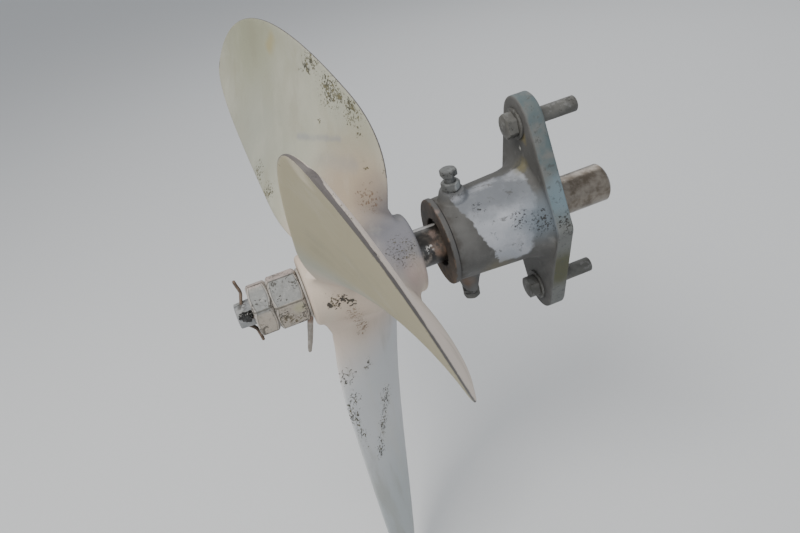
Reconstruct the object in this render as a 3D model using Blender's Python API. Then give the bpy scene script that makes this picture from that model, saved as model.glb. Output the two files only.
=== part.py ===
"""Three-blade ship propeller on its shaft end, with the stern bearing that carries it."""

import math

import bmesh
import bpy
from mathutils import Matrix, Vector

# Frame: metres, +X forward along the shaft, +Y to port, +Z up.
# The origin lies on the flange's flat back face, on the metal below the bore.
AXIS_HEIGHT = 0.055

# Fits
TOUCH_GAP = 0.0003
RUNNING_GAP = 0.0005

# Smoothness of round pieces
ROUND_STEPS = 48
SMALL_STEPS = 20
SHARP_ANGLE = math.radians(35)

# Shaft
SHAFT_DIAMETER = 0.035
SHAFT_FORWARD_LENGTH = 0.060
SHAFT_GAP = 0.0230
SHAFT_CHAMFER = 0.002
TAPER_END_DIAMETER = 0.0250
THREAD_DIAMETER = 0.0235
THREAD_PAST_LOCK_NUT = 0.0138
CROSS_HOLE_DIAMETER = 0.0060

# Key and its keyway
KEY_WIDTH = 0.010
KEY_HEIGHT = 0.0085
KEY_LENGTH = 0.060
KEY_DEPTH_IN_SHAFT = 0.0050
KEY_FROM_HUB_FACE = 0.004

# Stern bearing housing
FLANGE_THICKNESS = 0.0155
FLANGE_LOBE_RADIUS = 0.0235
FLANGE_HALF_WIDTH = 0.054
FLANGE_SIDE_RADIUS = 0.0095
BOLT_FROM_AXIS = 0.084
BARREL_LENGTH = 0.0985
BARREL_AFT_RADIUS = 0.0380
BARREL_FORWARD_RADIUS = 0.0410
BARREL_FLARE_LENGTH = 0.022
BARREL_FLARE_HEIGHT = 0.010
BARREL_CHAMFER = 0.0015
BOSS_FROM_AFT_END = 0.0165
UPPER_BOSS_RADIUS = 0.0135
UPPER_BOSS_TOP_RADIUS = 0.0095
UPPER_BOSS_HEIGHT = 0.0078
LOWER_BOSS_RADIUS = 0.0140
LOWER_BOSS_TOP_RADIUS = 0.0070
LOWER_BOSS_HEIGHT = 0.0193

# Bearing sleeve and liner
LINER_WALL = 0.0038
SLEEVE_WALL = 0.0045
END_RING_RADIUS = 0.0393
END_RING_THICKNESS = 0.0050
LINER_RECESS = 0.004
FLUTE_COUNT = 8
FLUTE_RADIUS = 0.0016

# Set screws with lock nuts, top and bottom
SET_SCREW_DIAMETER = 0.0090
SET_SCREW_HEAD_ACROSS = 0.0135
SET_SCREW_HEAD_HEIGHT = 0.0058
SET_NUT_ACROSS = 0.0147
UPPER_NUT_HEIGHT = 0.0075
UPPER_SCREW_NECK = 0.0056
LOWER_NUT_HEIGHT = 0.0036
LOWER_SCREW_NECK = 0.0005
SCREW_BITE = 0.0012

# Flange bolts
BOLT_DIAMETER = 0.0140
BOLT_HEAD_ACROSS = 0.0220
BOLT_HEAD_HEIGHT = 0.0090
BOLT_WASHER_RADIUS = 0.0140
BOLT_WASHER_THICKNESS = 0.0020
BOLT_PAST_FLANGE = 0.0400
HOLE_CLEARANCE = 0.0005

# Propeller
TIP_RADIUS = 0.344
HUB_LENGTH = 0.100
HUB_FORWARD_RADIUS = 0.0355
HUB_MIDDLE_RADIUS = 0.0385
HUB_AFT_RADIUS = 0.0310
HUB_EDGE_ROUND = 0.004
BLADE_COUNT = 3
BLADE_A_ANGLE = math.radians(54.9)
PITCH_AT_AXIS = 0.329
PITCH_AT_TIP = 0.779
BLADE_AFT_OF_HUB_MIDDLE = 0.0039
BLADE_RAKE = 0.117
BLADE_ROOT_AT = 0.050
LEAD_ROOT_WIDTH = 0.0510
LEAD_WIDTH = 0.121
LEAD_WIDEST_AT = 0.1465
LEAD_ROUNDNESS = 2.1
TRAIL_ROOT_WIDTH = 0.0460
TRAIL_WIDTH = 0.0579
TRAIL_WIDEST_AT = 0.1250
TRAIL_ROUNDNESS = 2.1
BLADE_SWEEP = 0.1765
BLADE_SWEEP_GROWTH = 0.046
BLADE_CAMBER = 0.028
BLADE_ROOT_THICKNESS = 0.0204
BLADE_TIP_THICKNESS = 0.0035
BLADE_EDGE_THICKNESS = 0.0025
BLADE_FILLET = 0.010

# Nuts, tab washer and split pin at the shaft's end
NUT_ACROSS = 0.0425
NUT_HEIGHT = 0.0265
LOCK_NUT_HEIGHT = 0.0170
NUT_CHAMFER = 0.0022
NUT_TURN = math.radians(40)
LOCK_NUT_TURN = math.radians(33)
TAB_WASHER_THICKNESS = 0.0020
TAB_WASHER_RADIUS = 0.0215
TAB_ROOT_WIDTH = 0.0070
TAB_WIDTH = 0.0066
TAB_THICKNESS = 0.0030
TAB_TIP_WIDTH = 0.0032
TAB_REACH = 0.066
TAB_LEAN = 0.0160
SPLIT_PIN_DIAMETER = 0.0050
SPLIT_PIN_ABOVE = 0.028
SPLIT_PIN_BELOW = 0.029

# Where things lie along the shaft, from the flange's back face
FLANGE_FACE_X = -FLANGE_THICKNESS
BARREL_END_X = -BARREL_LENGTH
RING_FORWARD_X = BARREL_END_X - TOUCH_GAP
RING_AFT_X = RING_FORWARD_X - END_RING_THICKNESS
HUB_FORWARD_X = RING_AFT_X - SHAFT_GAP
HUB_AFT_X = HUB_FORWARD_X - HUB_LENGTH
WASHER_FORWARD_X = HUB_AFT_X - TOUCH_GAP
WASHER_AFT_X = WASHER_FORWARD_X - TAB_WASHER_THICKNESS
NUT_FORWARD_X = WASHER_AFT_X - TOUCH_GAP
NUT_AFT_X = NUT_FORWARD_X - NUT_HEIGHT
LOCK_FORWARD_X = NUT_AFT_X - TOUCH_GAP
LOCK_AFT_X = LOCK_FORWARD_X - LOCK_NUT_HEIGHT
SHAFT_AFT_X = LOCK_AFT_X - THREAD_PAST_LOCK_NUT
BOSS_X = BARREL_END_X + BOSS_FROM_AFT_END
CROSS_HOLE_X = LOCK_AFT_X - THREAD_PAST_LOCK_NUT / 2

BOSSES = (
    ("upper", 1, UPPER_BOSS_HEIGHT, UPPER_BOSS_RADIUS, UPPER_BOSS_TOP_RADIUS),
    ("lower", -1, LOWER_BOSS_HEIGHT, LOWER_BOSS_RADIUS, LOWER_BOSS_TOP_RADIUS),
)
SET_SCREWS = (
    ("upper", 1, UPPER_BOSS_HEIGHT, UPPER_NUT_HEIGHT, UPPER_SCREW_NECK),
    ("lower", -1, LOWER_BOSS_HEIGHT, LOWER_NUT_HEIGHT, LOWER_SCREW_NECK),
)
SHAFT_RADIUS = SHAFT_DIAMETER / 2
LINER_OUTER_RADIUS = SHAFT_RADIUS + RUNNING_GAP + LINER_WALL
SLEEVE_INNER_RADIUS = LINER_OUTER_RADIUS + TOUCH_GAP
SLEEVE_OUTER_RADIUS = SLEEVE_INNER_RADIUS + SLEEVE_WALL
TAPER_END_RADIUS = TAPER_END_DIAMETER / 2
THREAD_RADIUS = THREAD_DIAMETER / 2
LEADING_EDGE = (LEAD_ROOT_WIDTH, LEAD_WIDTH, LEAD_WIDEST_AT, LEAD_ROUNDNESS)
TRAILING_EDGE = (TRAIL_ROOT_WIDTH, TRAIL_WIDTH, TRAIL_WIDEST_AT, TRAIL_ROUNDNESS)
CUT_PAST = 0.005


def clear_scene():
    for item in list(bpy.data.objects):
        bpy.data.objects.remove(item)


def finish(name, colour, roughness, metallic):
    """A plain Principled material."""
    made = bpy.data.materials.new(name)
    made.use_nodes = True
    shader = made.node_tree.nodes["Principled BSDF"]
    shader.inputs["Base Color"].default_value = (*colour, 1.0)
    shader.inputs["Roughness"].default_value = roughness
    shader.inputs["Metallic"].default_value = metallic
    return made


def empty(name, location):
    made = bpy.data.objects.new(name, None)
    made.location = location
    bpy.context.scene.collection.objects.link(made)
    return made


def add(name, shape, material, parent):
    """Turn a bmesh into a named object that hangs from an empty on the shaft's axis."""
    bmesh.ops.recalc_face_normals(shape, faces=shape.faces)
    mesh = bpy.data.meshes.new(name)
    shape.to_mesh(mesh)
    shape.free()
    mesh.materials.append(material)
    mesh.shade_smooth()
    mesh.set_sharp_from_angle(angle=SHARP_ANGLE)
    made = bpy.data.objects.new(name, mesh)
    bpy.context.scene.collection.objects.link(made)
    made.parent = parent
    return made


def shape_with(target, other, operation):
    """Join, cut or keep the common part of a piece and a helper body that isn't a piece."""
    other.hide_render = True
    other.display_type = "WIRE"
    step = target.modifiers.new(other.name, "BOOLEAN")
    step.operation = operation
    step.solver = "EXACT"
    step.object = other


def shape_in_triangles(target, other, operation):
    """The same on a target cut into triangles, since a face with a hole in it can tear."""
    target.modifiers.new(other.name + "_faces", "TRIANGULATE")
    shape_with(target, other, operation)


def turned(outline, steps, closed=True):
    """A body turned about X from (x, radius) points; open outlines start and end on the axis."""
    shape = bmesh.new()
    verts = [shape.verts.new((x, 0.0, radius)) for x, radius in outline]
    pairs = list(zip(verts, verts[1:]))
    if closed:
        pairs.append((verts[-1], verts[0]))
    edges = [shape.edges.new(pair) for pair in pairs]
    bmesh.ops.spin(shape, geom=verts + edges, axis=(1, 0, 0), cent=(0, 0, 0),
                   angle=2 * math.pi, steps=steps, use_merge=True)
    bmesh.ops.remove_doubles(shape, verts=shape.verts, dist=1e-6)
    return shape


def rod(radius, start_x, end_x, steps=ROUND_STEPS):
    """A plain cylinder along X."""
    outline = [(start_x, 0.0), (start_x, radius), (end_x, radius), (end_x, 0.0)]
    return turned(outline, steps, closed=False)


def upright(shape, x, z, upward=1):
    """Stand a body made along X on end, so that its own +X points up or down at (x, z).

    Half a step of turn about its own axis keeps its corners off the shaft's upright plane.
    """
    half_step = Matrix.Rotation(math.pi / SMALL_STEPS, 4, "X")
    turn = Matrix.Rotation(-upward * math.pi / 2, 4, "Y") @ half_step
    bmesh.ops.transform(shape, matrix=Matrix.Translation((x, 0, z)) @ turn, verts=shape.verts)
    return shape


def prism(outline, start_x, end_x):
    """A body of constant (y, z) outline along X."""
    shape = bmesh.new()
    face = shape.faces.new([shape.verts.new((start_x, y, z)) for y, z in outline])
    grown = bmesh.ops.extrude_face_region(shape, geom=[face])
    moved = [item for item in grown["geom"] if isinstance(item, bmesh.types.BMVert)]
    bmesh.ops.translate(shape, verts=moved, vec=(end_x - start_x, 0, 0))
    return shape


def hexagon(across, turn=0.0):
    """Corners of a hexagon given across its flats, the first corner at the turn from +Y."""
    corner = across / 2 / math.cos(math.pi / 6)
    angles = [turn + math.pi / 3 * step for step in range(6)]
    return [(corner * math.cos(a), corner * math.sin(a)) for a in angles]


def around(circles, arc_steps=6):
    """The tight outline around circles (y, z, radius) that are listed counterclockwise."""
    tangents = []
    for (y0, z0, r0), (y1, z1, r1) in zip(circles, circles[1:] + circles[:1]):
        gap = math.hypot(y1 - y0, z1 - z0)
        tangents.append(math.atan2(z1 - z0, y1 - y0) - math.acos((r0 - r1) / gap))
    points = []
    for index, (y, z, radius) in enumerate(circles):
        start, end = tangents[index - 1], tangents[index]
        sweep = (end - start) % (2 * math.pi)
        for step in range(arc_steps + 1):
            angle = start + sweep * step / arc_steps
            points.append((y + radius * math.cos(angle), z + radius * math.sin(angle)))
    return points


def chamfered_hexagon(name, across, start_x, end_x, turn, bore_radius, material, parent):
    """A nut along X: a hexagon with both ends turned off, bored through."""
    nut = add(name, prism(hexagon(across, turn), start_x, end_x), material, parent)
    corner = across / 2 / math.cos(math.pi / 6) + TOUCH_GAP
    flat = corner - NUT_CHAMFER
    low, high = min(start_x, end_x), max(start_x, end_x)
    slope = NUT_CHAMFER / 2
    outline = [(low, 0.0), (low, flat), (low + slope, corner), (high - slope, corner), (high, flat),
               (high, 0.0)]
    turning = add(name + "_turning", turned(outline, ROUND_STEPS, False), material, parent)
    shape_with(nut, turning, "INTERSECT")
    bore = rod(bore_radius, low - CUT_PAST, high + CUT_PAST)
    shape_with(nut, add(name + "_bore", bore, material, parent), "DIFFERENCE")
    return nut


def barrel_outline():
    """Half section of the barrel, which flares out to end inside the flange, solid to the axis."""
    flare = []
    for step in range(7):
        angle = math.pi / 2 * step / 6
        x = FLANGE_FACE_X + TOUCH_GAP - BARREL_FLARE_LENGTH * (1 - math.sin(angle))
        radius = BARREL_FORWARD_RADIUS + BARREL_FLARE_HEIGHT * (1 - math.cos(angle))
        flare.append((x, radius))
    inside = FLANGE_FACE_X + FLANGE_THICKNESS / 2
    return [
        (BARREL_END_X, 0.0),
        (BARREL_END_X, BARREL_AFT_RADIUS - BARREL_CHAMFER),
        (BARREL_END_X + BARREL_CHAMFER, BARREL_AFT_RADIUS),
        *flare,
        (inside, BARREL_FORWARD_RADIUS + BARREL_FLARE_HEIGHT),
        (inside, 0.0),
    ]


def build_housing(iron, fixed):
    side = FLANGE_HALF_WIDTH - FLANGE_SIDE_RADIUS
    lobes = [
        (side, 0.0, FLANGE_SIDE_RADIUS),
        (0.0, BOLT_FROM_AXIS, FLANGE_LOBE_RADIUS),
        (-side, 0.0, FLANGE_SIDE_RADIUS),
        (0.0, -BOLT_FROM_AXIS, FLANGE_LOBE_RADIUS),
    ]
    housing = add("bearing_housing", prism(around(lobes), 0.0, FLANGE_FACE_X), iron, fixed)
    barrel = add("housing_barrel", turned(barrel_outline(), ROUND_STEPS, False), iron, fixed)
    shape_in_triangles(housing, barrel, "UNION")
    inner = (SLEEVE_OUTER_RADIUS + BARREL_AFT_RADIUS) / 2
    for word, way, height, root, top in BOSSES:
        boss_top = BARREL_AFT_RADIUS + height
        outline = [(inner, 0.0), (inner, root), (boss_top, top), (boss_top, 0.0)]
        boss = upright(turned(outline, SMALL_STEPS, False), BOSS_X, 0, way)
        shape_in_triangles(housing, add(word + "_boss", boss, iron, fixed), "UNION")
    bore = rod(SLEEVE_OUTER_RADIUS + TOUCH_GAP, BARREL_END_X - CUT_PAST, CUT_PAST)
    shape_in_triangles(housing, add("housing_bore", bore, iron, fixed), "DIFFERENCE")
    for word, way, height, _, _ in BOSSES:
        outer = BARREL_AFT_RADIUS + height + CUT_PAST
        hole = rod(SET_SCREW_DIAMETER / 2 + TOUCH_GAP, SHAFT_RADIUS, outer, SMALL_STEPS)
        hole = add(word + "_screw_hole", upright(hole, BOSS_X, 0, way), iron, fixed)
        shape_in_triangles(housing, hole, "DIFFERENCE")
        hole = rod(BOLT_DIAMETER / 2 + HOLE_CLEARANCE, FLANGE_FACE_X - CUT_PAST, CUT_PAST, SMALL_STEPS)
        bmesh.ops.translate(hole, verts=hole.verts, vec=(0, 0, way * BOLT_FROM_AXIS))
        shape_in_triangles(housing, add(word + "_bolt_hole", hole, iron, fixed), "DIFFERENCE")


def build_sleeve(bronze, fixed):
    outline = [
        (0.0, SLEEVE_INNER_RADIUS),
        (0.0, SLEEVE_OUTER_RADIUS),
        (RING_FORWARD_X, SLEEVE_OUTER_RADIUS),
        (RING_FORWARD_X, END_RING_RADIUS),
        (RING_AFT_X + BARREL_CHAMFER, END_RING_RADIUS),
        (RING_AFT_X, END_RING_RADIUS - BARREL_CHAMFER),
        (RING_AFT_X, SLEEVE_INNER_RADIUS),
    ]
    sleeve = add("bearing_sleeve", turned(outline, ROUND_STEPS), bronze, fixed)
    for word, way in (("upper", 1), ("lower", -1)):
        dimple = rod(SET_SCREW_DIAMETER / 2 + TOUCH_GAP, SLEEVE_OUTER_RADIUS - SCREW_BITE - TOUCH_GAP,
                     SLEEVE_OUTER_RADIUS + CUT_PAST, SMALL_STEPS)
        dimple = add(word + "_dimple", upright(dimple, BOSS_X, 0, way), bronze, fixed)
        shape_with(sleeve, dimple, "DIFFERENCE")


def build_liner(rubber, fixed):
    """The liner's bore has flutes that let water through."""
    inner = SHAFT_RADIUS + RUNNING_GAP
    aft = RING_AFT_X + LINER_RECESS
    outline = [(0.0, inner), (0.0, LINER_OUTER_RADIUS), (aft, LINER_OUTER_RADIUS), (aft, inner)]
    liner = add("rubber_liner", turned(outline, ROUND_STEPS), rubber, fixed)
    for index in range(FLUTE_COUNT):
        angle = 2 * math.pi * (index + 0.5) / FLUTE_COUNT
        flute = rod(FLUTE_RADIUS, aft - CUT_PAST, CUT_PAST, 8)
        place = (0, inner * math.cos(angle), inner * math.sin(angle))
        bmesh.ops.translate(flute, verts=flute.verts, vec=place)
        shape_with(liner, add(f"flute_{index}", flute, rubber, fixed), "DIFFERENCE")


def build_set_screws(painted, fixed):
    """A headed set screw with its lock nut, on the boss above and the boss below."""
    tip = SLEEVE_OUTER_RADIUS - SCREW_BITE
    for word, way, boss_height, nut_height, neck in SET_SCREWS:
        nut_low = BARREL_AFT_RADIUS + boss_height + TOUCH_GAP
        nut_high = nut_low + nut_height
        head_low = nut_high + neck
        head_high = head_low + SET_SCREW_HEAD_HEIGHT
        screw = upright(prism(hexagon(SET_SCREW_HEAD_ACROSS), head_low, head_high), BOSS_X, 0, way)
        screw = add(word + "_set_screw", screw, painted, fixed)
        shank = upright(rod(SET_SCREW_DIAMETER / 2, tip, head_low + TOUCH_GAP, SMALL_STEPS), BOSS_X, 0, way)
        shape_with(screw, add(word + "_screw_shank", shank, painted, fixed), "UNION")
        nut = upright(prism(hexagon(SET_NUT_ACROSS, math.radians(12)), nut_low, nut_high), BOSS_X, 0, way)
        nut = add(word + "_lock_nut", nut, painted, fixed)
        bore = rod(SET_SCREW_DIAMETER / 2 + TOUCH_GAP, nut_low - CUT_PAST, nut_high + CUT_PAST, SMALL_STEPS)
        bore = add(word + "_nut_bore", upright(bore, BOSS_X, 0, way), painted, fixed)
        shape_with(nut, bore, "DIFFERENCE")


def build_flange_bolts(painted, fixed):
    washer_face = FLANGE_FACE_X - TOUCH_GAP
    washer_back = washer_face - BOLT_WASHER_THICKNESS
    head_face = washer_back - TOUCH_GAP
    head_back = head_face - BOLT_HEAD_HEIGHT
    hole = BOLT_DIAMETER / 2 + HOLE_CLEARANCE
    for word, way in (("upper", 1), ("lower", -1)):
        place = (0, 0, way * BOLT_FROM_AXIS)
        head = prism(hexagon(BOLT_HEAD_ACROSS, math.radians(20)), head_back, head_face)
        shank = rod(BOLT_DIAMETER / 2, head_face - TOUCH_GAP, BOLT_PAST_FLANGE, SMALL_STEPS)
        washer = turned([(washer_back, hole), (washer_back, BOLT_WASHER_RADIUS),
                         (washer_face, BOLT_WASHER_RADIUS), (washer_face, hole)], SMALL_STEPS)
        for shape in (head, shank, washer):
            bmesh.ops.translate(shape, verts=shape.verts, vec=place)
        bolt = add(word + "_flange_bolt", head, painted, fixed)
        shape_with(bolt, add(word + "_bolt_shank", shank, painted, fixed), "UNION")
        add(word + "_flange_washer", washer, painted, fixed)


def key_block(extra, start_x, end_x, low, high):
    """A box along the key's line, wider by a clearance on each side."""
    half = KEY_WIDTH / 2 + extra
    return prism([(-half, low), (half, low), (half, high), (-half, high)], start_x, end_x)


def taper_radius(x):
    """The shaft's radius at x on its taper, full size at the hub's forward face."""
    share = (HUB_FORWARD_X - x) / HUB_LENGTH
    return SHAFT_RADIUS + (TAPER_END_RADIUS - SHAFT_RADIUS) * share


def build_shaft(steel, spinning):
    outline = [
        (SHAFT_AFT_X, 0.0),
        (SHAFT_AFT_X, THREAD_RADIUS - SHAFT_CHAMFER),
        (SHAFT_AFT_X + SHAFT_CHAMFER, THREAD_RADIUS),
        (HUB_AFT_X, THREAD_RADIUS),
        (HUB_AFT_X, TAPER_END_RADIUS),
        (HUB_FORWARD_X, SHAFT_RADIUS),
        (SHAFT_FORWARD_LENGTH - SHAFT_CHAMFER, SHAFT_RADIUS),
        (SHAFT_FORWARD_LENGTH, SHAFT_RADIUS - SHAFT_CHAMFER),
        (SHAFT_FORWARD_LENGTH, 0.0),
    ]
    shaft = add("propeller_shaft", turned(outline, ROUND_STEPS, False), steel, spinning)
    floor = SHAFT_RADIUS - KEY_DEPTH_IN_SHAFT - TOUCH_GAP
    key_aft = HUB_FORWARD_X - KEY_FROM_HUB_FACE - KEY_LENGTH
    key_forward = HUB_FORWARD_X - KEY_FROM_HUB_FACE
    keyway = key_block(TOUCH_GAP, key_aft - TOUCH_GAP, key_forward + TOUCH_GAP, floor,
                       SHAFT_RADIUS + CUT_PAST)
    shape_with(shaft, add("shaft_keyway", keyway, steel, spinning), "DIFFERENCE")
    for word, turn in (("upright", 0.0), ("level", math.pi / 2)):
        hole = rod(CROSS_HOLE_DIAMETER / 2, -2 * THREAD_RADIUS, 2 * THREAD_RADIUS, SMALL_STEPS)
        hole = upright(hole, CROSS_HOLE_X, 0)
        bmesh.ops.rotate(hole, verts=hole.verts, cent=(0, 0, 0), matrix=Matrix.Rotation(turn, 3, "X"))
        shape_with(shaft, add(word + "_cross_hole", hole, steel, spinning), "DIFFERENCE")


def build_key(steel, spinning):
    forward = HUB_FORWARD_X - KEY_FROM_HUB_FACE
    floor = SHAFT_RADIUS - KEY_DEPTH_IN_SHAFT
    block = key_block(0.0, forward - KEY_LENGTH, forward, floor, floor + KEY_HEIGHT)
    add("shaft_key", block, steel, spinning)


def blade_width(radius, edge):
    """Width from the middle line to an edge: it grows from the root, then closes in a round arc."""
    root, widest, widest_at, roundness = edge
    if radius < widest_at:
        share = max(radius - BLADE_ROOT_AT, 0.0) / (widest_at - BLADE_ROOT_AT)
        return root + (widest - root) * math.sin(math.pi / 2 * share)
    share = (radius - widest_at) / (TIP_RADIUS - widest_at)
    return widest * math.sqrt(max(1 - share ** roundness, 0.0))


def blade_sweep(radius):
    """How far along the chord the middle line lies behind the blade's root."""
    share = max(radius - BLADE_ROOT_AT, 0.0) / (TIP_RADIUS - BLADE_ROOT_AT)
    return BLADE_SWEEP * share + BLADE_SWEEP_GROWTH * share ** 2


def blade_point(angle, radius, along, off):
    """A point of a blade: a distance along the chord and a distance off its aft face."""
    pitch = PITCH_AT_AXIS + (PITCH_AT_TIP - PITCH_AT_AXIS) * radius / TIP_RADIUS
    slope = math.atan2(pitch, 2 * math.pi * radius)
    turn = angle + (along * math.cos(slope) - off * math.sin(slope)) / radius
    middle = (HUB_FORWARD_X + HUB_AFT_X) / 2 - BLADE_AFT_OF_HUB_MIDDLE
    rake = BLADE_RAKE * max(radius - BLADE_ROOT_AT, 0.0)
    x = middle + rake + along * math.sin(slope) + off * math.cos(slope)
    return Vector((x, radius * math.cos(turn), radius * math.sin(turn)))


def blade_section(angle, radius, sides):
    """Points round one section: along the hollow aft face, back over the rounded forward face."""
    lead = blade_width(radius, LEADING_EDGE) - blade_sweep(radius)
    trail = -blade_width(radius, TRAILING_EDGE) - blade_sweep(radius)
    share = (radius - HUB_MIDDLE_RADIUS) / (TIP_RADIUS - HUB_MIDDLE_RADIUS)
    thick = BLADE_ROOT_THICKNESS + (BLADE_TIP_THICKNESS - BLADE_ROOT_THICKNESS) * share
    thick += BLADE_FILLET * max(0.0, 1 - share * 6) ** 2
    aft, forward = [], []
    for step in range(sides + 1):
        place = -math.cos(math.pi * step / sides)
        along = (lead + trail) / 2 + place * (lead - trail) / 2
        hollow = BLADE_CAMBER * (lead - trail) * (1 - place ** 2)
        crown = (thick - BLADE_EDGE_THICKNESS) * (1 - place ** 2)
        inset = BLADE_EDGE_THICKNESS / 2 * abs(place) ** 8
        aft.append(blade_point(angle, radius, along, hollow + inset))
        forward.append(blade_point(angle, radius, along, hollow + BLADE_EDGE_THICKNESS + crown - inset))
    return aft + forward[-2:0:-1]


def blade(angle, stations=18, sides=10):
    """One closed blade, from inside the hub to its round tip."""
    shape = bmesh.new()
    start = HUB_AFT_RADIUS - BLADE_FILLET
    rings = []
    for index in range(stations):
        share = 1 - (1 - index / stations) ** 1.7
        radius = start + (TIP_RADIUS - start) * share
        rings.append([shape.verts.new(p) for p in blade_section(angle, radius, sides)])
    for low, high in zip(rings, rings[1:]):
        for a, b, c, d in zip(low, low[1:] + low[:1], high[1:] + high[:1], high):
            shape.faces.new((a, b, c, d))
    shape.faces.new(rings[0])
    tip = shape.verts.new(blade_point(angle, TIP_RADIUS, -blade_sweep(TIP_RADIUS), BLADE_EDGE_THICKNESS / 2))
    last = rings[-1]
    for a, b in zip(last, last[1:] + last[:1]):
        shape.faces.new((a, b, tip))
    return shape


def hub_outline(grown=0.0):
    """Half section of the hub, solid to the axis, or the same shape grown all over."""
    aft, forward = HUB_AFT_X - grown, HUB_FORWARD_X + grown
    middle = (aft + forward) / 2
    return [
        (aft, 0.0),
        (aft, HUB_AFT_RADIUS - HUB_EDGE_ROUND + grown),
        (aft + HUB_EDGE_ROUND, HUB_AFT_RADIUS + grown),
        (middle, HUB_MIDDLE_RADIUS + grown),
        (forward - HUB_EDGE_ROUND, HUB_FORWARD_RADIUS + grown),
        (forward, HUB_FORWARD_RADIUS - HUB_EDGE_ROUND + grown),
        (forward, 0.0),
    ]


def build_hub(painted, spinning):
    hub = add("propeller_hub", turned(hub_outline(), ROUND_STEPS, False), painted, spinning)
    aft, forward = HUB_AFT_X - CUT_PAST, HUB_FORWARD_X + CUT_PAST
    outline = [(aft, 0.0), (aft, taper_radius(aft) + TOUCH_GAP), (forward, taper_radius(forward) + TOUCH_GAP),
               (forward, 0.0)]
    bore = add("hub_bore", turned(outline, ROUND_STEPS, False), painted, spinning)
    shape_with(hub, bore, "DIFFERENCE")
    top = SHAFT_RADIUS - KEY_DEPTH_IN_SHAFT + KEY_HEIGHT + TOUCH_GAP
    slot = key_block(TOUCH_GAP, aft, forward, 0.0, top)
    shape_with(hub, add("hub_keyway", slot, painted, spinning), "DIFFERENCE")


def build_blades(painted, spinning):
    """Blades that grow out of the hub, each cut back to just clear of its surface."""
    around_hub = add("hub_clearance", turned(hub_outline(TOUCH_GAP), ROUND_STEPS, False), painted, spinning)
    for index in range(BLADE_COUNT):
        angle = BLADE_A_ANGLE + 2 * math.pi * index / BLADE_COUNT
        made = add(f"blade_{index + 1}", blade(angle), painted, spinning)
        shape_with(made, around_hub, "DIFFERENCE")


def build_tab_washer(steel, spinning):
    """A ring under the nut with one long tab, twisted side on, hanging below it."""
    ring = turned([(WASHER_AFT_X, THREAD_RADIUS + TOUCH_GAP), (WASHER_AFT_X, TAB_WASHER_RADIUS),
                   (WASHER_FORWARD_X, TAB_WASHER_RADIUS), (WASHER_FORWARD_X, THREAD_RADIUS + TOUCH_GAP)],
                  ROUND_STEPS)
    washer = add("tab_washer", ring, steel, spinning)
    shape = bmesh.new()
    root = (THREAD_RADIUS + TAB_WASHER_RADIUS) / 2
    bend = NUT_ACROSS / 2 / math.cos(math.pi / 6) + TAB_WASHER_THICKNESS
    twisted = bend + TAB_WIDTH / 2
    tip_x = WASHER_FORWARD_X - TAB_LEAN
    stations = [
        (root, WASHER_FORWARD_X, TAB_WASHER_THICKNESS, TAB_ROOT_WIDTH),
        (bend, WASHER_FORWARD_X, TAB_WASHER_THICKNESS, TAB_ROOT_WIDTH),
        (twisted, WASHER_FORWARD_X, TAB_WIDTH, TAB_THICKNESS),
        (TAB_REACH, tip_x, TAB_TIP_WIDTH, TAB_THICKNESS),
    ]
    rings = []
    for reach, forward, along, across in stations:
        aft = forward - along
        corners = [(aft, -1), (aft, 1), (forward, 1), (forward, -1)]
        rings.append([shape.verts.new((x, side * across / 2, -reach)) for x, side in corners])
    for low, high in zip(rings, rings[1:]):
        for a, b, c, d in zip(low, low[1:] + low[:1], high[1:] + high[:1], high):
            shape.faces.new((a, b, c, d))
    shape.faces.new(rings[0])
    shape.faces.new(rings[-1])
    shape_with(washer, add("washer_tab", shape, steel, spinning), "UNION")


def build_nuts(painted, spinning):
    bore = THREAD_RADIUS + TOUCH_GAP
    nuts = (("propeller_nut", NUT_FORWARD_X, NUT_AFT_X, NUT_TURN),
            ("lock_nut", LOCK_FORWARD_X, LOCK_AFT_X, LOCK_NUT_TURN))
    for name, forward, aft, turn in nuts:
        chamfered_hexagon(name, NUT_ACROSS, forward, aft, turn, bore, painted, spinning)


def build_split_pin(steel, spinning):
    pin = rod(SPLIT_PIN_DIAMETER / 2, -SPLIT_PIN_BELOW, SPLIT_PIN_ABOVE, 12)
    add("split_pin", upright(pin, CROSS_HOLE_X, 0), steel, spinning)


def main():
    clear_scene()
    fixed = empty("stern_bearing", (0, 0, AXIS_HEIGHT))
    spinning = empty("shaft_spin", (0, 0, AXIS_HEIGHT))
    cream = finish("worn_cream_coat", (0.62, 0.60, 0.54), 0.75, 0.0)
    grey = finish("worn_grey_coat", (0.50, 0.51, 0.50), 0.75, 0.0)
    bronze = finish("stained_bronze", (0.30, 0.21, 0.14), 0.6, 0.8)
    steel = finish("stained_steel", (0.33, 0.28, 0.23), 0.45, 1.0)
    rubber = finish("black_rubber", (0.03, 0.03, 0.03), 0.7, 0.0)
    build_housing(grey, fixed)
    build_sleeve(bronze, fixed)
    build_liner(rubber, fixed)
    build_set_screws(grey, fixed)
    build_flange_bolts(grey, fixed)
    build_shaft(steel, spinning)
    build_key(steel, spinning)
    build_hub(cream, spinning)
    build_blades(cream, spinning)
    build_tab_washer(steel, spinning)
    build_nuts(grey, spinning)
    build_split_pin(steel, spinning)


main()
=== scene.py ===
"""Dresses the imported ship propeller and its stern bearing: fine shapes and worn coats."""

from math import acos, atan2, copysign, cos, hypot, pi, radians, sin, sqrt, tan

import bmesh
import bpy
from mathutils import Matrix, Vector, noise


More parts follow.
